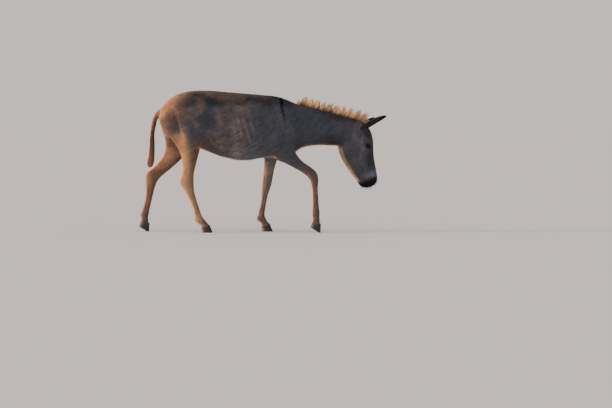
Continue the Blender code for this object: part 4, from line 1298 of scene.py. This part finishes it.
def tail_hair():
    """Strands that hang from the tail's own roots to the tassel's outline."""
    chosen = rng.choice(len(tail_roots["root"]), TAIL_STRANDS, replace=False)
    roots, normals, uv = (tail_roots[key][chosen] for key in ("root", "normal", "uv"))
    normals = unit(normals * (1, 1, 0.2))
    height = on_donkey(roots)[:, 2]
    length = rng.uniform(0.55, 1.15, TAIL_STRANDS) * np.interp(height, TAIL_LENGTH_AT, TAIL_LENGTH)
    lowest = TASSEL_END_FROM + (TASSEL_END_TO - TASSEL_END_FROM) * rng.uniform(0, 1, TAIL_STRANDS) ** 2
    tip_height = np.maximum(height - length, np.minimum(lowest, height - 0.010))
    levels, axis_x, half_width = np.array(TAIL_AXIS).T
    axis = np.column_stack((np.interp(tip_height, levels, axis_x), np.zeros(TAIL_STRANDS), tip_height))
    out = np.interp(tip_height, levels, half_width) * rng.uniform(0.55, 1.02, TAIL_STRANDS)
    turn = rng.normal(0, 0.25, TAIL_STRANDS)
    around = unit(normals * (1, 1, 0))
    sideways = np.column_stack((-around[:, 1], around[:, 0], np.zeros(TAIL_STRANDS)))
    around = around * np.cos(turn)[:, None] + sideways * np.sin(turn)[:, None]
    tips = np.array(in_frame((0, 0, 0))) + axis + around * out[:, None]
    reach = np.linalg.norm(tips - roots, axis=1)
    outward = normals * rng.uniform(0.08, 0.22, (TAIL_STRANDS, 1))
    way = unit(np.array((-0.05, 0.0, -1.0)) + outward)
    bend = (tips - roots) / reach[:, None] - way
    shade = np.clip(rng.normal(0, 0.4, TAIL_STRANDS), -1, 1)
    values = {"shade": shade, "along": smooth_step(0.90, 0.60, height)}
    width = rng.uniform(*TAIL_STRAND_WIDTH, TAIL_STRANDS)
    piece = strands("tail_hair", roots, way, bend, reach, width, uv, values, segments=4)
    return piece


tail_tassel = tail_hair()

# %% [markdown]
# ## Long hairs of the coat
# Some places grow hair that leaves the lie of the coat: the throat and the back edge of the jaw,
# the chin, the lips' whiskers, the midline of the belly, and the back of each fetlock. These are
# what give the outline its fringe.

# %% Fringes and whiskers
FRINGES = (
    # centre and radii of the place, how many hairs, length, way they go, how far they droop, width
    ((0.672, 0.0, 0.715), (0.035, 0.050, 0.030), 150, 0.030, (0.25, 0.0, -1.0), 0.3, 0.0012),
    ((0.735, 0.0, 0.590), (0.060, 0.045, 0.110), 520, 0.014, (-0.55, 0.0, -0.75), 0.2, 0.0011),
    ((0.815, 0.0, 0.465), (0.050, 0.040, 0.060), 220, 0.014, (-0.40, 0.0, -0.80), 0.2, 0.0010),
    ((0.880, 0.0, 0.395), (0.050, 0.045, 0.028), 150, 0.026, (0.20, 0.0, -0.85), 0.2, 0.0008),
    ((0.950, 0.0, 0.425), (0.030, 0.060, 0.035), 90, 0.022, (0.75, 0.0, -0.45), 0.5, 0.0007),
    ((-0.120, 0.0, 0.575), (0.420, 0.060, 0.050), 900, 0.021, (-0.75, 0.0, -0.65), 0.1, 0.0013),
    ((0.330, 0.0, 0.700), (0.120, 0.050, 0.060), 260, 0.017, (-0.50, 0.0, -0.80), 0.2, 0.0013),
)
FETLOCKS = (  # the back of each one
    (0.436, -0.105, 0.115),
    (-0.025, 0.105, 0.100),
    (-0.520, -0.118, 0.100),
    (-1.000, 0.118, 0.125),
)
FETLOCK_FRINGE = ((0.040, 0.045, 0.040), 170, 0.020, (-0.45, 0.0, -0.85), 0.3, 0.0012)
FETLOCK_BACK = 0.012  # hair grows only behind this far before a fetlock's place
FRINGE_SUNK = 0.0005


def fringe(place, radii, count, length, way, droop, width):
    """Hairs in one place: roots, way, bend, length, width, and which roots of the coat they use."""
    offset = (places - place) / radii
    pool = np.flatnonzero((offset**2).sum(axis=1) < 1)
    if place in FETLOCKS:
        pool = pool[places[pool, 0] < place[0] + FETLOCK_BACK]
    chosen = rng.choice(pool, count)
    normal = coat["normal"][chosen]
    direction = unit(np.array(way) + 0.5 * normal + rng.normal(0, 0.16, (count, 3)))
    bend = np.array((0.0, 0.0, -droop)) + rng.normal(0, 0.06, (count, 3))
    roots = coat["root"][chosen] - normal * FRINGE_SUNK
    return roots, direction, bend, length * rng.uniform(0.55, 1.1, count), np.full(count, width), chosen


def coat_strands(name, roots, way, bend, length, width, chosen):
    """Long hairs that grow among the coat's chosen roots and share their colours."""
    uv, marks = coat["uv"][chosen], chosen_of(values, chosen)
    piece = strands(name, roots, way, bend, length, width, uv, marks, segments=3)
    coat_pieces.append(piece)


grown = [fringe(*row) for row in FRINGES] + [fringe(place, *FETLOCK_FRINGE) for place in FETLOCKS]
print("hairs in each fringe:", [len(row[0]) for row in grown])
roots, way, bend, length, width, chosen = (np.concatenate(parts) for parts in zip(*grown))
length = np.minimum(length, 0.9 * roots[:, 2])  # none reaches the floor
coat_strands("coat_fringes", roots, way, bend, length, width, chosen)

# %% [markdown]
# ## Eyes
# An eyeball is a sphere with a slight bulge in front for the cornea. Its slit slants, but a
# donkey's pupil is a level oval, so how far each point lies above the eye's axis is stored for
# the material. Lashes stand along the upper lid's rim and curl upwards.

# %% Eyeballs and lashes
CORNEA_RISE, CORNEA_REACH = 0.0012, math.radians(38)
BALL_INSET = 0.0006  # how much smaller than its solid the ball is, under its cornea
LASHES, LASH_WIDTH = 70, 0.0008


def eyeball(side):
    centre = eye_centres[side]
    bpy.ops.object.select_all(action="DESELECT")
    radius = eye_radius - BALL_INSET
    bpy.ops.mesh.primitive_uv_sphere_add(segments=64, ring_count=40, radius=radius, location=centre)
    ball = bpy.context.view_layer.objects.active
    ball.name = ball.data.name = f"eye_{side}_ball"
    bpy.ops.object.transform_apply(location=True, rotation=False, scale=False)
    ball.data.shade_smooth()
    _, heading, _, _, off_axis = eye_angles(on_donkey(places_of(ball.data)), side)
    rise = CORNEA_RISE * smooth_step(CORNEA_REACH, 0.0, off_axis)
    move_to(ball.data, places_of(ball.data) + heading * rise[:, None])
    level = np.arcsin(np.clip(heading[:, 2] - eye_axes(side)[1][2], -1, 1))
    set_values(ball.data, {"off_axis": off_axis, "level": level})
    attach(ball, "root")
    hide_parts("eye_" + side)
    return ball


def lashes(side):
    centre, out, along, up = eye_axes(side)
    sideways = np.linspace(-0.80, 0.85, LASHES) * SLIT_HALF
    across = UPPER_OPENING * bow(sideways) + 0.03
    level = np.outer(np.cos(sideways), out) + np.outer(np.sin(sideways), along)
    away = unit(level * np.cos(across)[:, None] + np.outer(np.sin(across), up))
    roots = centre + away * (eye_radius + LID * 0.8) + np.array(origin)
    way = away + 0.15 * np.outer(np.sin(sideways), along) - 0.55 * up
    way = unit(way + rng.normal(0, 0.06, (LASHES, 3)))
    bend = 0.35 * up + rng.normal(0, 0.04, (LASHES, 3))
    length = rng.uniform(0.009, 0.014, LASHES)
    values = {"shade": rng.normal(-0.3, 0.1, LASHES), "along": np.zeros(LASHES)}
    width = np.full(LASHES, LASH_WIDTH)
    piece = strands(f"lashes_{side}", roots, way, bend, length, width, nearest_uv(roots), values)
    return piece


eyeballs = [eyeball(side) for side in SIDES]
lash_pieces = [lashes(side) for side in SIDES]

# %% [markdown]
# ## Hooves
# Horn grows down from the coronet and keeps a ring for each spell of growth. The solid's copy is
# remeshed finely, given its rings and a swollen coronet, and its sole is pressed flat again.

# %% Hooves with growth rings
HOOF_CELL, RING_SPACING, RING_RISE = 0.0023, 0.0062, 0.0006
HIGH_IN_FRONT = ("hoof_hind_right", "hoof_fore_left")  # the other two are high at the heel
HEEL_DROP, TOE_DROP = 0.028, 0.014  # how much lower the coronet lies at the other end
CORONET_SWELL, CORONET_AT, CORONET_WIDTH = 0.0014, 0.005, 0.004
WALL_INSET, SOLE_FLAT = 0.0010, 0.0012  # the whole wall goes in, and what is this low goes flat
RING_WANDER, SIDE_MARGIN = 0.0012, 0.0003  # how uneven the rings run, and room kept inside the box


def hoof(node):
    """A hoof's solid as horn, with rings that follow the slope of its coronet."""
    horn = copy_of_solid(node)
    horn.name = horn.data.name = node + "_horn"
    modifier(horn, "REMESH", mode="VOXEL", voxel_size=HOOF_CELL)
    apply_modifiers(horn)
    ease(horn, rounds=12)
    horn.data.shade_smooth()
    low, high = (np.array(corner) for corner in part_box(node))
    places, normals = places_of(horn.data), normals_of(horn.data)
    forward = (places[:, 0] - low[0]) / (high[0] - low[0])  # 0 at the heel and 1 at the toe
    drop = HEEL_DROP * (1 - forward) if node in HIGH_IN_FRONT else TOE_DROP * forward
    below_coronet = high[2] - drop - places[:, 2]
    wall = 1 - np.abs(normals[:, 2])
    wavy = below_coronet + RING_WANDER * ripple(places, 0.05, 31)
    rise = RING_RISE * np.cos(wavy * math.tau / RING_SPACING) * smooth_step(0.004, 0.012, below_coronet)
    rise += CORONET_SWELL * bell(below_coronet - CORONET_AT, CORONET_WIDTH) - WALL_INSET
    places = places + normals * (rise * wall)[:, None]
    places = np.clip(places, low + (SIDE_MARGIN, SIDE_MARGIN, 0), high)
    places[:, 2] = np.where(places[:, 2] < SOLE_FLAT, 0.0, places[:, 2])
    move_to(horn.data, places)
    set_values(horn.data, {"down": below_coronet, "shade": ripple(places, 0.02, 33)})
    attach(horn, "root")
    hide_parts(node)
    return horn


horns = [hoof(node) for node in HOOVES]
print("hooves:", [len(horn.data.polygons) for horn in horns], "faces")

# %% [markdown]
# Where coat meets horn there is no bare seam: a thick row of hair falls over the coronet. Its
# hairs grow from the coat's own roots, stand out first and then bend down over the horn.

# %% Hair over the top edge of each hoof
CORONET_HAIRS, CORONET_REACH, CORONET_HAIR_WIDTH = 520, 0.012, 0.0013
BELOW_FETLOCK = 0.16  # only roots lower than this are searched
STAND_OUT, BEND_IN, BEND_DOWN = 0.85, 0.42, 0.30  # shares of a hair's length


def roots_by(horn):
    """Numbers of the coat's roots close above a hoof, drawn at random."""
    mesh = horn.data
    tree = BVHTree.FromPolygons([v.co for v in mesh.vertices], [p.vertices for p in mesh.polygons])
    low = np.flatnonzero(places[:, 2] < BELOW_FETLOCK)
    away = np.array([tree.find_nearest(Vector(coat["root"][i]))[3] for i in low])
    return rng.choice(low[away < CORONET_REACH], CORONET_HAIRS)


chosen = np.concatenate([roots_by(horn) for horn in horns])
normal, lie = coat["normal"][chosen], coat["lie"][chosen]
roots = coat["root"][chosen] + np.cross(normal, lie) * rng.normal(0, 0.0016, (len(chosen), 1))
way = unit(lie + STAND_OUT * normal + rng.normal(0, 0.09, (len(chosen), 3)))
bend = np.array((0.0, 0.0, -BEND_DOWN)) - BEND_IN * normal
length = rng.uniform(0.011, 0.019, len(chosen))
width = np.full(len(chosen), CORONET_HAIR_WIDTH)
coat_strands("coat_coronets", roots, way, bend, length, width, chosen)

# %% [markdown]
# ## Finishes
# The whole donkey wears three kinds of finish: hair, horn and wet eye. The coat is dull, and only
# mane, tail and lashes have a faint sheen. What all hair shares, uneven colour from tuft to tuft
# and from root to tip, is a node group built once.

# %% Helpers for nodes
def node(tree, kind, inputs=None, **settings):
    """Adds a node. inputs maps its sockets to values, or to output sockets that feed them."""
    made = tree.nodes.new(kind)
    for name, value in settings.items():
        setattr(made, name, value)
    for key, value in (inputs or {}).items():
        if isinstance(value, bpy.types.NodeSocket):
            tree.links.new(value, made.inputs[key])
        else:
            made.inputs[key].default_value = value
    return made


def attribute(tree, name):
    return node(tree, "ShaderNodeAttribute", attribute_name=name).outputs["Fac"]


def object_places(tree):
    return node(tree, "ShaderNodeTexCoord").outputs["Object"]


def noise(tree, places, scale, detail):
    return node(tree, "ShaderNodeTexNoise", {"Vector": places, "Scale": scale, "Detail": detail}).outputs[0]


def blend_colours(tree, factor, first, second):
    return node(tree, "ShaderNodeMix", {0: factor, 6: first, 7: second}, data_type="RGBA").outputs[2]


def brightened(tree, colour, factor):
    return node(tree, "ShaderNodeVectorMath", {0: colour, "Scale": factor}, operation="SCALE").outputs[0]


def reckon(tree, operation, first, second=0.0):
    return node(tree, "ShaderNodeMath", {0: first, 1: second}, operation=operation).outputs[0]


def ramp(tree, value, low, high, start=0.0, end=1.0):
    """A value between low and high turned into one between start and end, and held there."""
    ends = {"Value": value, "From Min": low, "From Max": high, "To Min": start, "To Max": end}
    return node(tree, "ShaderNodeMapRange", ends).outputs[0]


def bump(tree, shader, height, strength, distance):
    bumped = node(tree, "ShaderNodeBump", {"Height": height, "Strength": strength, "Distance": distance})
    tree.links.new(bumped.outputs[0], shader["Normal"])


def group(name, inputs, outputs):
    """A new node group with named sockets. Returns its tree and its input and output sockets."""
    tree = bpy.data.node_groups.new(name, "ShaderNodeTree")
    for socket, (kind, value) in inputs.items():
        made = tree.interface.new_socket(socket, in_out="INPUT", socket_type=kind)
        made.default_value = value
    for socket, kind in outputs.items():
        tree.interface.new_socket(socket, in_out="OUTPUT", socket_type=kind)
    return tree, tree.nodes.new("NodeGroupInput").outputs, tree.nodes.new("NodeGroupOutput").inputs


def placed(tree, group_tree, inputs):
    return node(tree, "ShaderNodeGroup", inputs, node_tree=group_tree).outputs


def material(name, **constants):
    """A material with a Principled BSDF whose given sockets hold plain numbers."""
    made = bpy.data.materials.new(name)
    made.use_nodes = True
    shader = made.node_tree.nodes["Principled BSDF"]
    for socket, value in constants.items():
        shader.inputs[socket.replace("_", " ")].default_value = value
    return made, made.node_tree, shader.inputs


def dress(pieces, finish):
    for piece in pieces:
        piece.data.materials.append(finish)


# %% Uneven hair, shared by every piece of hair
COLOUR, NUMBER = "NodeSocketColor", "NodeSocketFloat"
uneven_hair, given, result = group(
    "uneven_hair",
    {
        "Colour": (COLOUR, (0.1, 0.1, 0.1, 1)),
        "Light": (COLOUR, (0.2, 0.2, 0.2, 1)),
        "Shade": (NUMBER, 0.0),
        "Tip": (NUMBER, 0.0),
        "Contrast": (NUMBER, 0.4),
    },
    {"Colour": COLOUR, "Roughness": NUMBER, "Height": NUMBER},
)
coordinates = object_places(uneven_hair)
grain = noise(uneven_hair, coordinates, 260.0, 2.0)
mottle = reckon(uneven_hair, "SUBTRACT", grain, 0.5)
patchy = reckon(uneven_hair, "SUBTRACT", noise(uneven_hair, coordinates, 9.0, 4.0), 0.5)
change = reckon(uneven_hair, "MULTIPLY", given["Shade"], 0.8)
for part, strength in ((patchy, 0.5), (mottle, 0.7)):
    change = reckon(uneven_hair, "ADD", change, reckon(uneven_hair, "MULTIPLY", part, strength))
change = reckon(uneven_hair, "MULTIPLY", change, given["Contrast"])
brightness = ramp(uneven_hair, change, -1.0, 1.0, 0.25, 1.75)
root_colour, tip_colour = (brightened(uneven_hair, given[end], brightness) for end in ("Colour", "Light"))
toward_tip = ramp(uneven_hair, given["Tip"], 0.1, 1.0, 0.0, 0.75)
uneven_hair.links.new(blend_colours(uneven_hair, toward_tip, root_colour, tip_colour), result["Colour"])
dull = reckon(uneven_hair, "ADD", reckon(uneven_hair, "MULTIPLY", mottle, 0.2), 0.72)
uneven_hair.links.new(dull, result["Roughness"])
uneven_hair.links.new(grain, result["Height"])
GRAIN_DEPTH = 0.0008


def wear_hair(tree, shader, root, tip, contrast, grain=0.0):
    """Feeds a shader with uneven hair between two colours, and with bump in its grain."""
    shade, along = attribute(tree, "shade"), attribute(tree, "tip")
    given = {"Colour": root, "Light": tip, "Shade": shade, "Tip": along, "Contrast": contrast}
    uneven = placed(tree, uneven_hair, given)
    tree.links.new(uneven["Colour"], shader["Base Color"])
    tree.links.new(uneven["Roughness"], shader["Roughness"])
    if grain:
        bump(tree, shader, uneven["Height"], grain, GRAIN_DEPTH)


# %% [markdown]
# ### Skin and coat
# Both carry the same marks in the same order: grey-brown ground, warmed towards the rump and the
# legs, pale below, with painted rim light, a bright orange line for the glow of low back light along
# the edges of jaw, throat and belly and on the right hind leg. Then come the dark cross and spine,
# with painted shade on the hip and the top of the back in the same dark, the pale band of the nose
# and the dark muzzle.

# %% The coat's colours
GROUND = ((0.087, 0.084, 0.091, 1), (0.204, 0.199, 0.216, 1))  # at the hair's root and its tip
MARK_COLOURS = {
    # each mark's colour at the hair's root and its tip, in the order they are painted
    "rufous": ((0.180, 0.098, 0.060, 1), (0.420, 0.238, 0.150, 1)),
    "pale": ((0.260, 0.195, 0.145, 1), (0.480, 0.390, 0.320, 1)),
    # edge is painted rim light: a bright orange glow of low back light.
    "edge": ((0.560, 0.330, 0.170, 1), (1.000, 0.660, 0.360, 1)),
    # dark paints the stripes and dark patches, and also the painted shade on the hip and top of the back.
    "dark": ((0.014, 0.010, 0.009, 1), (0.022, 0.016, 0.014, 1)),
    "band": ((0.118, 0.124, 0.136, 1), (0.250, 0.268, 0.305, 1)),
    "muzzle": ((0.009, 0.010, 0.012, 1), (0.014, 0.016, 0.020, 1)),
}
mark_sockets = {mark: (NUMBER, 0.0) for mark in MARK_COLOURS}
coat_colours, given, result = group("coat_colours", mark_sockets, {"Root": COLOUR, "Tip": COLOUR})
for end, socket in enumerate(("Root", "Tip")):
    colour = GROUND[end]
    for mark, paints in MARK_COLOURS.items():
        colour = blend_colours(coat_colours, given[mark], colour, paints[end])
    coat_colours.links.new(colour, result[socket])


def hair_finish(name, grain):
    """Coat or skin: the marks' colours, made uneven, with bump in the grain of the hair."""
    made, tree, shader = material(name, Specular_IOR_Level=0.08)
    colours = placed(tree, coat_colours, {mark: attribute(tree, mark) for mark in MARK_COLOURS})
    wear_hair(tree, shader, colours["Root"], colours["Tip"], 0.75, grain)
    return made


dress([skin], hair_finish("skin_under_hair", 0.8))
dress(coat_pieces, hair_finish("coat_hair", 0.25))

# %% [markdown]
# ### Ears, mane and tail
# An ear is coat-coloured behind, a little greyer inside, and almost black along its rims and at
# its tip. The mane runs from dark roots to sandy tips, painted bright orange for the glow of low
# back light through them, except in the forelock, and the brown tail ends in a rusty tassel.

# %% Ear, mane and tail finishes
EAR_BACK = ((0.030, 0.024, 0.021, 1), (0.065, 0.051, 0.044, 1))  # at the hair's root and its tip
EAR_INSIDE = ((0.060, 0.052, 0.048, 1), (0.150, 0.136, 0.126, 1))
EAR_RIM = ((0.010, 0.007, 0.006, 1), (0.016, 0.012, 0.010, 1))
# The middle and end colours are painted glow: sandy hair made bright orange for low back light shining
# through it.
MANE_COLOURS = (  # at the root, in the middle, at the end, and at the ends of the forelock
    (0.030, 0.016, 0.010, 1), (0.950, 0.430, 0.160, 1), (1.000, 0.720, 0.360, 1), (0.360, 0.175, 0.085, 1),
)
TAIL_COLOURS = (  # the same, with the tassel last
    (0.060, 0.032, 0.020, 1), (0.130, 0.064, 0.035, 1), (0.200, 0.095, 0.050, 1), (0.640, 0.260, 0.100, 1),
)
LASH, LASH_END = (0.010, 0.008, 0.007, 1), (0.020, 0.015, 0.012, 1)
FORELOCK_FROM, TASSEL_FROM = 0.78, 0.25  # where the last colour begins along mane and tail


def ear_finish():
    made, tree, shader = material("ear_hair", Specular_IOR_Level=0.08)
    inner, rim, along = (attribute(tree, name) for name in ("inner", "rim", "along"))
    edge = reckon(tree, "MAXIMUM", rim, ramp(tree, along, 0.55, 0.95))
    ends = []
    for back, inside, rim_colour in zip(EAR_BACK, EAR_INSIDE, EAR_RIM):
        ends.append(blend_colours(tree, edge, blend_colours(tree, inner, back, inside), rim_colour))
    wear_hair(tree, shader, *ends, contrast=0.7, grain=0.4)
    return made


def long_hair_finish(name, colours, late_from, contrast):
    """Hair that changes colour from root to end, and takes a last end colour past late_from."""
    root, middle, end, late_end = colours
    made, tree, shader = material(name, Specular_IOR_Level=0.3, Sheen_Weight=0.1, Sheen_Roughness=0.4)
    # Dark strands, in the gaps between spikes, stay at the root's colour for longer: the dark roots showing
    # there, with painted shade in the gaps.
    held_back = reckon(tree, "MULTIPLY", reckon(tree, "MINIMUM", attribute(tree, "shade"), 0.0), 0.45)
    past_root = reckon(tree, "ADD", attribute(tree, "tip"), held_back)
    colour = blend_colours(tree, ramp(tree, past_root, 0.20, 0.5), root, middle)
    late = ramp(tree, attribute(tree, "along"), late_from, 1.0)
    wear_hair(tree, shader, colour, blend_colours(tree, late, end, late_end), contrast)
    return made


dress(ear_skins + ear_coats, ear_finish())
dress([mane_hair], long_hair_finish("mane_strands", MANE_COLOURS, FORELOCK_FROM, 0.85))
dress([tail_tassel], long_hair_finish("tail_strands", TAIL_COLOURS, TASSEL_FROM, 0.6))
dress(lash_pieces, long_hair_finish("lash_strands", (LASH, LASH, LASH_END, LASH_END), 0.0, 0.3))

# %% [markdown]
# ### Horn and eyes
# Horn is dark and dull. It has fine upright fibres, a paler band for each growth ring, and dust
# that settles in patches. An eye is a smooth ball whose colours are circles round its axis, with
# a level oval pupil, and a thin clear coat on it keeps it wet.

# %% Horn and eye finishes
HORN, HORN_BAND = (0.011, 0.011, 0.012, 1), (0.030, 0.027, 0.025, 1)
HORN_FIBRE, HORN_DUST = (0.050, 0.043, 0.037, 1), (0.110, 0.092, 0.075, 1)
FIBRE_STRETCH, FIBRE_DEPTH = (1.0, 1.0, 0.12), 0.0006
IRIS, IRIS_FIBRE = (0.008, 0.004, 0.002, 1), (0.030, 0.014, 0.006, 1)
PUPIL, WHITE_OF_EYE = (0.002, 0.002, 0.003, 1), (0.010, 0.007, 0.006, 1)  # even the white is dark
PUPIL_RIM, IRIS_RIM = (0.30, 0.36), (0.62, 0.74)  # angles over which each one ends
PUPIL_FLATNESS = 1.7  # how many times wider than high it is


def horn_finish():
    made, tree, shader = material("hoof_horn", Specular_IOR_Level=0.35)
    coordinates = object_places(tree)
    stretched = node(tree, "ShaderNodeMapping", {"Vector": coordinates, "Scale": FIBRE_STRETCH}).outputs[0]
    fibres, dust = noise(tree, stretched, 420.0, 3.0), noise(tree, coordinates, 55.0, 5.0)
    ring = reckon(tree, "MULTIPLY", attribute(tree, "down"), math.tau / RING_SPACING)
    bands = reckon(tree, "MULTIPLY", reckon(tree, "ADD", reckon(tree, "SINE", ring), 1.0), 0.25)
    horn = blend_colours(tree, bands, HORN, HORN_BAND)
    horn = blend_colours(tree, reckon(tree, "MULTIPLY", fibres, 0.3), horn, HORN_FIBRE)
    settled = reckon(tree, "MULTIPLY", ramp(tree, dust, 0.50, 0.72), 0.3)
    tree.links.new(blend_colours(tree, settled, horn, HORN_DUST), shader["Base Color"])
    tree.links.new(reckon(tree, "ADD", reckon(tree, "MULTIPLY", dust, 0.35), 0.38), shader["Roughness"])
    bump(tree, shader, fibres, 0.35, FIBRE_DEPTH)
    return made


def eye_finish():
    wetness = {"Coat_Weight": 0.22, "Coat_Roughness": 0.03}
    made, tree, shader = material("wet_eye", Specular_IOR_Level=0.2, Roughness=0.2, **wetness)
    off_axis, level = attribute(tree, "off_axis"), attribute(tree, "level")
    iris = blend_colours(tree, noise(tree, object_places(tree), 900.0, 3.0), IRIS, IRIS_FIBRE)
    # The pupil is an oval: angles up and down the ball count for more than those sideways.
    upright = reckon(tree, "ABSOLUTE", reckon(tree, "MULTIPLY", level, PUPIL_FLATNESS))
    squares = (reckon(tree, "POWER", angle, 2.0) for angle in (off_axis, upright))
    oval = reckon(tree, "SQRT", reckon(tree, "ADD", *squares))
    colour = blend_colours(tree, ramp(tree, oval, *PUPIL_RIM), PUPIL, iris)
    colour = blend_colours(tree, ramp(tree, off_axis, *IRIS_RIM), colour, WHITE_OF_EYE)
    tree.links.new(colour, shader["Base Color"])
    return made


dress(horns, horn_finish())
dress(eyeballs, eye_finish())

# %% [markdown]
# ## Floor, camera and light
# A plain pale floor, and a camera far off with a long lens, a little above the animal's back, as
# one would watch it across a meadow. A broad cool light fills the near side, and a low warm one
# behind picks out mane, belly and legs.

# %% Floor
FLOOR_SIZE, FLOOR_COLOUR = 120.0, (0.80, 0.79, 0.77, 1)
FLOOR_CLOUDS = tuple(0.96 * c for c in FLOOR_COLOUR[:3]) + (1,)  # a little darker
bpy.ops.object.select_all(action="DESELECT")
bpy.ops.mesh.primitive_plane_add(size=FLOOR_SIZE, location=(0, 0, 0))
floor = bpy.context.view_layer.objects.active
floor.name = "floor"
floor_finish, tree, shader = material("pale_floor", Roughness=0.9, Specular_IOR_Level=0.1)
clouds = noise(tree, object_places(tree), 1.5, 6.0)
tree.links.new(blend_colours(tree, clouds, FLOOR_CLOUDS, FLOOR_COLOUR), shader["Base Color"])
dress([floor], floor_finish)

# %% Camera
AIM_AT = Vector((0.367, 0.0, 0.235))
CAMERA_DISTANCE, CAMERA_RISE, LENS, VIEW_END = 30.0, math.radians(2.0), 210.0, 500.0
camera_data = bpy.data.cameras.new("camera")
camera_data.lens = LENS
camera_data.clip_end = VIEW_END
camera = bpy.data.objects.new("camera", camera_data)
bpy.context.scene.collection.objects.link(camera)
back = Vector((0, -math.cos(CAMERA_RISE), math.sin(CAMERA_RISE)))
camera.location = AIM_AT + back * CAMERA_DISTANCE
camera.rotation_euler = (-back).to_track_quat("-Z", "Y").to_euler()
bpy.context.scene.camera = camera


# %% Lights
def sun(name, towards, strength, colour, softness):
    """A sun lamp that shines along towards, with softness as its width in degrees."""
    data = bpy.data.lights.new(name, "SUN")
    data.energy = strength
    data.color = colour
    data.angle = math.radians(softness)
    lamp = bpy.data.objects.new(name, data)
    bpy.context.scene.collection.objects.link(lamp)
    lamp.rotation_euler = Vector(towards).to_track_quat("-Z", "Y").to_euler()


sun("low_warm", (0.97, 0.09, -0.10), 13.5, (1.0, 0.58, 0.32), 14)
sun("soft_near", (0.15, 0.85, -0.30), 1.6, (0.66, 0.81, 1.0), 130)
SKY_COLOUR, SKY_STRENGTH = (0.84, 0.90, 1.0, 1), 0.55
BACKDROP_COLOUR = (0.825, 0.730, 0.708, 1)  # the floor's own tone, so that no horizon shows
world = bpy.data.worlds.new("studio")
bpy.context.scene.world = world
world.use_nodes = True
light = world.node_tree.nodes["Background"]
light.inputs["Color"].default_value, light.inputs["Strength"].default_value = SKY_COLOUR, SKY_STRENGTH
seen = node(world.node_tree, "ShaderNodeBackground", {"Color": BACKDROP_COLOUR})
ray = node(world.node_tree, "ShaderNodeLightPath").outputs["Is Camera Ray"]
either = node(world.node_tree, "ShaderNodeMixShader", {0: ray, 1: light.outputs[0], 2: seen.outputs[0]})
world.node_tree.links.new(either.outputs[0], world.node_tree.nodes["World Output"].inputs["Surface"])
